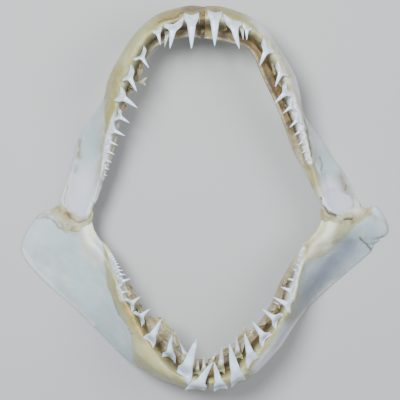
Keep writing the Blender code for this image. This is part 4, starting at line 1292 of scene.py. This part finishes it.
class JawColours(bpy.types.PropertyGroup):
    """Colours that a user may change."""

    blade: colour_property("Blade", "Bluish white of the flat blades", (0.48, 0.60, 0.645))
    blade_warm: colour_property("Blade Streaks", "Warmer streaks on the blades", (0.66, 0.67, 0.60))
    band: colour_property("Band", "Cream of the band that bears the teeth", (0.41, 0.435, 0.255))
    band_deep: colour_property("Band Depths", "Yellower parts of that band", (0.36, 0.36, 0.16))
    ridge: colour_property("Joint Ridge", "Cream ridge below the joints", (0.74, 0.75, 0.62))
    rim: colour_property("Rim", "Pale rim along the rear edges", (0.74, 0.76, 0.74))
    # Partly painted light: a pale lilac tint, made much brighter than the blade where those faces render in
    # shade.
    lilac: colour_property("Lilac Parts", "Pale lilac of the right upper band", (0.80, 0.78, 0.93))
    # Painted shade: a dark grey lilac over the lower right blade, the side turned from the light.
    painted_blade_shade: colour_property("Dusky Blade", "Grey lilac of the thin right lower blade", (0.13, 0.155, 0.215))
    # Painted shade: the grey of the marks that follow grooves and hollows, and of the dark side by the right
    # joint.
    shadow: colour_property("Grey Parts", "Greyer parts of the cartilage", (0.33, 0.355, 0.33))
    gum: colour_property("Gum", "Dried gum round the roots", (0.25, 0.24, 0.05))
    chalk: colour_property("Rear Bands", "Chalky bands of the small rear teeth", (0.76, 0.80, 0.79))
    flesh: colour_property("Root Tissue", "Pale dried tissue between the roots", (0.58, 0.58, 0.44))
    ochre: colour_property("Ochre", "Ochre stains", (0.24, 0.165, 0.05))
    orange: colour_property("Orange", "Orange stains in the gum", (0.60, 0.32, 0.12))
    pocket: colour_property("Pockets", "Brown hollows behind the teeth", (0.062, 0.036, 0.012))
    membrane: colour_property("Membrane", "Amber membrane", (0.20, 0.135, 0.042))
    lip: colour_property("Membrane Rim", "Cream rim of the membrane", (0.50, 0.47, 0.31))
    olive: colour_property("Olive", "Olive tissue", (0.24, 0.22, 0.11))
    dark: colour_property("Cracks", "Cracks and dark specks", (0.05, 0.035, 0.02))
    enamel: colour_property("Enamel", "Crowns of the working teeth", (0.62, 0.79, 0.99))
    root: colour_property("Roots", "Roots of the teeth", (0.53, 0.64, 0.76))
    grey_enamel: colour_property("Second Row", "Teeth of the second row", (0.50, 0.52, 0.54))
    # Painted shade: the grey laid down the middle of each root.
    core: colour_property("Root Middle", "Cloudy grey of the roots' middles", (0.36, 0.42, 0.50))
    neck: colour_property("Neck", "Line between crown and root", (0.50, 0.44, 0.28))
    ligament: colour_property("Ligament", "Cream ligament", (0.50, 0.47, 0.32))
    floor: colour_property("Floor", "Pale floor", (0.40, 0.405, 0.415))


class JAW_OT_cartilage(bpy.types.Operator):
    """Make the four halves of the jaws, uneven and stained as dried cartilage is, with painted shade"""

    bl_idname = "jaw.cartilage"
    bl_label = "Cartilage"

    def execute(self, context):
        finish = cartilage_finish(context.scene.jaw_colours)
        relief = context.scene.jaw_sizes.relief / MILLIMETRE
        for half in STATIONS:
            rings, masks = cartilage_surface(half, relief)
            faces = capped_faces(rings)
            make_piece("cartilage_" + half, rings, faces, finish, ["jaw_" + half], masks)
        for side, chart in JAW_ENDS.items():
            finder = SeatFinder("upper_" + side)
            rings, masks = scrap_surface(chart, finder, JAW_END_THICKNESS, JAW_END_RAGGEDNESS, 60, 1.0)
            faces = loft_faces(*rings.shape[:2])
            masks = {"lilac": np.full(rings.shape[:2], JAW_END_LILAC)}
            make_piece("jaw_end_" + side, rings, faces, finish, ["jaw_upper_" + side], masks)
        return {"FINISHED"}


class JAW_OT_teeth(bpy.types.Operator):
    """Make the working teeth and the teeth of the second row behind them"""

    bl_idname = "jaw.teeth"
    bl_label = "Teeth"

    def execute(self, context):
        colours = context.scene.jaw_colours
        white = tooth_finish(colours, "enamel", colours.enamel, colours.root)
        grey = tooth_finish(colours, "second_row_enamel", colours.grey_enamel, colours.band_deep)
        for half in STATIONS:
            finder = SeatFinder(half)
            level = half.split("_")[0]
            rows = (
                ("teeth_", tooth_row(half), TIP_RISE[level], white),
                ("second_row_", SECOND_ROW[half], SECOND_ROW_RISE, grey),
            )
            for prefix, charts, rise, finish in rows:
                made = [set_tooth(finder, chart, rise, k) for k, chart in enumerate(charts)]
                points, faces, masks = joined(made)
                make_piece(prefix + half, points, faces, finish, ["jaw_" + half], masks)
        return {"FINISHED"}


class JAW_OT_membranes(bpy.types.Operator):
    """Make the dried membranes that line the mouth side of the tooth rows"""

    bl_idname = "jaw.membranes"
    bl_label = "Membranes"

    def execute(self, context):
        sizes = context.scene.jaw_sizes
        finish = membrane_finish(context.scene.jaw_colours)
        for half in STATIONS:
            rings, masks = lip_surface(half, sizes.lip_rise / MILLIMETRE, sizes.lip_thickness / MILLIMETRE)
            rows, size = rings.shape[:2]
            faces = loft_faces(rows, size)
            for base in (0, (rows - 1) * size):
                k = np.arange(size // 2 - 1)
                faces += (base + np.stack([k, k + 1, size - 2 - k, size - 1 - k], axis=-1)).tolist()
            make_piece("membrane_lip_" + half, rings, faces, finish, ["membrane_" + half], masks)
        return {"FINISHED"}


class JAW_OT_scraps(bpy.types.Operator):
    """Make the scraps and cups of dried tissue between the teeth and the mouth edge"""

    bl_idname = "jaw.scraps"
    bl_label = "Tissue Scraps"

    def execute(self, context):
        finish = membrane_finish(context.scene.jaw_colours)
        for half, scraps in SCRAPS.items():
            finder = SeatFinder(half)
            made = [
                scrap_surface(scrap, finder, SCRAP_THICKNESS, SCRAP_RAGGEDNESS, 5 * k)
                for k, scrap in enumerate(scraps)
            ]
            points, faces, masks = joined(made)
            node = "membrane_" + half
            make_piece("tissue_scraps_" + half, points, faces, finish, [node], masks)
        return {"FINISHED"}


def bridge_rings(ring_a, ring_b, count, swell, sag, seed):
    """Rings from one ring to the other, swollen between by a half sine and rough."""
    share = np.linspace(0, 1, count)[:, None, None]
    eased = share * share * (3 - 2 * share)
    rings = ring_a + (ring_b - ring_a) * (0.5 * share + 0.5 * eased)
    bulge = np.sin(np.pi * share[..., 0])
    normal = unit(rings - rings.mean(axis=1, keepdims=True))
    rough = noises(rings, seed, CAPSULE_ROUGH)
    rings = rings + normal * (swell * (0.4 + bulge) + rough * (0.3 + bulge))[..., None]
    rings[..., 2] -= sag * bulge
    return rings


class JAW_OT_joints(bpy.types.Operator):
    """Make the joint capsules and the gristle of both symphyses"""

    bl_idname = "jaw.joints"
    bl_label = "Joints and Symphyses"

    def execute(self, context):
        colours = context.scene.jaw_colours
        swell = context.scene.jaw_sizes.capsule_swell / MILLIMETRE
        fibres = ligament_finish(colours)
        gristle = symphysis_finish(colours)
        along = np.linspace(0, 1, JAW_ROWS)
        rings = {half: jaw_rings(half_jaw_grid(half, along, jaw_columns())) for half in STATIONS}
        for side in ("left", "right"):
            ends = (rings[level + side][ring] for level, ring in zip(("lower_", "upper_"), CAPSULE_SPAN))
            bridge = bridge_rings(*ends, CAPSULE_RINGS, swell, 0.0, 70)
            top = fade(ring_normals(bridge)[..., 2], -0.1, 0.25)
            wavering = wandering(on_sheet(bridge), bridge, 90)
            joint = "joint_" + side
            masks = {mask: top * marked(joint, wavering, mask) for mask in ("cream", "ochre", "dark")}
            carved = 0.8 * masks["cream"] - 1.1 * masks["dark"]
            bridge = bridge + ring_normals(bridge) * carved[..., None]
            name, node = "joint_capsule_" + side, "joint_ligament_" + side
            make_piece(name, bridge, capped_faces(bridge), fibres, [node], masks)
        for level, sag in GRISTLE_SAG.items():
            ends = (rings[level + side][GRISTLE_MEETS] for side in ("_left", "_right"))
            bridge = bridge_rings(*ends, GRISTLE_RINGS, GRISTLE_SWELL, sag, 80)
            name, node = level + "_gristle", level + "_symphysis"
            make_piece(name, bridge, capped_faces(bridge), gristle, [node])
        return {"FINISHED"}


class JAW_OT_stage(bpy.types.Operator):
    """Set the pale floor, the soft lights and the camera straight above"""

    bl_idname = "jaw.stage"
    bl_label = "Stage"

    def execute(self, context):
        scene = context.scene
        half = 0.5 * scene.jaw_sizes.floor_size
        mesh = bpy.data.meshes.new("floor")
        signs = ((-1, -1), (1, -1), (1, 1), (-1, 1))
        corners = [(x * half, y * half, FLOOR_LEVEL) for x, y in signs]
        mesh.from_pydata(corners, [], [(0, 1, 2, 3)])
        finish = Finish("pale_floor")
        finish.shade(Base_Color=tint(scene.jaw_colours.floor), Roughness=0.7)
        mesh.materials.append(finish.material)
        floor = bpy.data.objects.new("floor", mesh)
        scene.collection.objects.link(floor)
        world = bpy.data.worlds.new("soft_sky")
        world.use_nodes = True
        sky = world.node_tree.nodes["Background"]
        sky.inputs["Color"].default_value = (0.92, 0.95, 1.0, 1.0)
        sky.inputs["Strength"].default_value = 0.4
        scene.world = world
        for name, place, size, power in LAMPS:
            lamp = bpy.data.lights.new(name, "AREA")
            lamp.shape = "DISK"
            lamp.size = size
            lamp.energy = power
            light = bpy.data.objects.new(name, lamp)
            light.location = place
            aim = -light.location.copy()
            light.rotation_euler = aim.to_track_quat("-Z", "Y").to_euler()
            scene.collection.objects.link(light)
        camera = bpy.data.objects.new("camera", bpy.data.cameras.new("camera"))
        camera.location = placed(*SHEET_MIDDLE, EYE_HEIGHT) * MILLIMETRE
        half_sheet = 0.5 * SHEET_SIZE
        camera.data.angle = float(2 * np.arctan(half_sheet / (EYE_HEIGHT - TRUE_LEVEL)))
        scene.collection.objects.link(camera)
        scene.camera = camera
        return {"FINISHED"}


class JAW_PT_panel(bpy.types.Panel):
    """Lists the pieces of the jaws, their sizes and their colours"""

    bl_idname = "JAW_PT_panel"
    bl_label = "Mako Jaw"
    bl_space_type = "VIEW_3D"
    bl_region_type = "UI"
    bl_category = "Jaw"

    def draw(self, context):
        for operator in OPERATORS:
            self.layout.operator(operator.bl_idname)
        for group in (context.scene.jaw_sizes, context.scene.jaw_colours):
            box = self.layout.box()
            for name in group.__annotations__:
                box.prop(group, name)


OPERATORS = (JAW_OT_cartilage, JAW_OT_teeth, JAW_OT_membranes, JAW_OT_scraps, JAW_OT_joints, JAW_OT_stage)
CLASSES = (JawSizes, JawColours, *OPERATORS, JAW_PT_panel)


def register():
    for cls in CLASSES:
        bpy.utils.register_class(cls)
    bpy.types.Scene.jaw_sizes = PointerProperty(type=JawSizes)
    bpy.types.Scene.jaw_colours = PointerProperty(type=JawColours)


def unregister():
    del bpy.types.Scene.jaw_colours
    del bpy.types.Scene.jaw_sizes
    for cls in reversed(CLASSES):
        bpy.utils.unregister_class(cls)


def main():
    register()
    for operator in OPERATORS:
        group, name = operator.bl_idname.split(".")
        getattr(getattr(bpy.ops, group), name)()


if __name__ == "__main__":
    main()
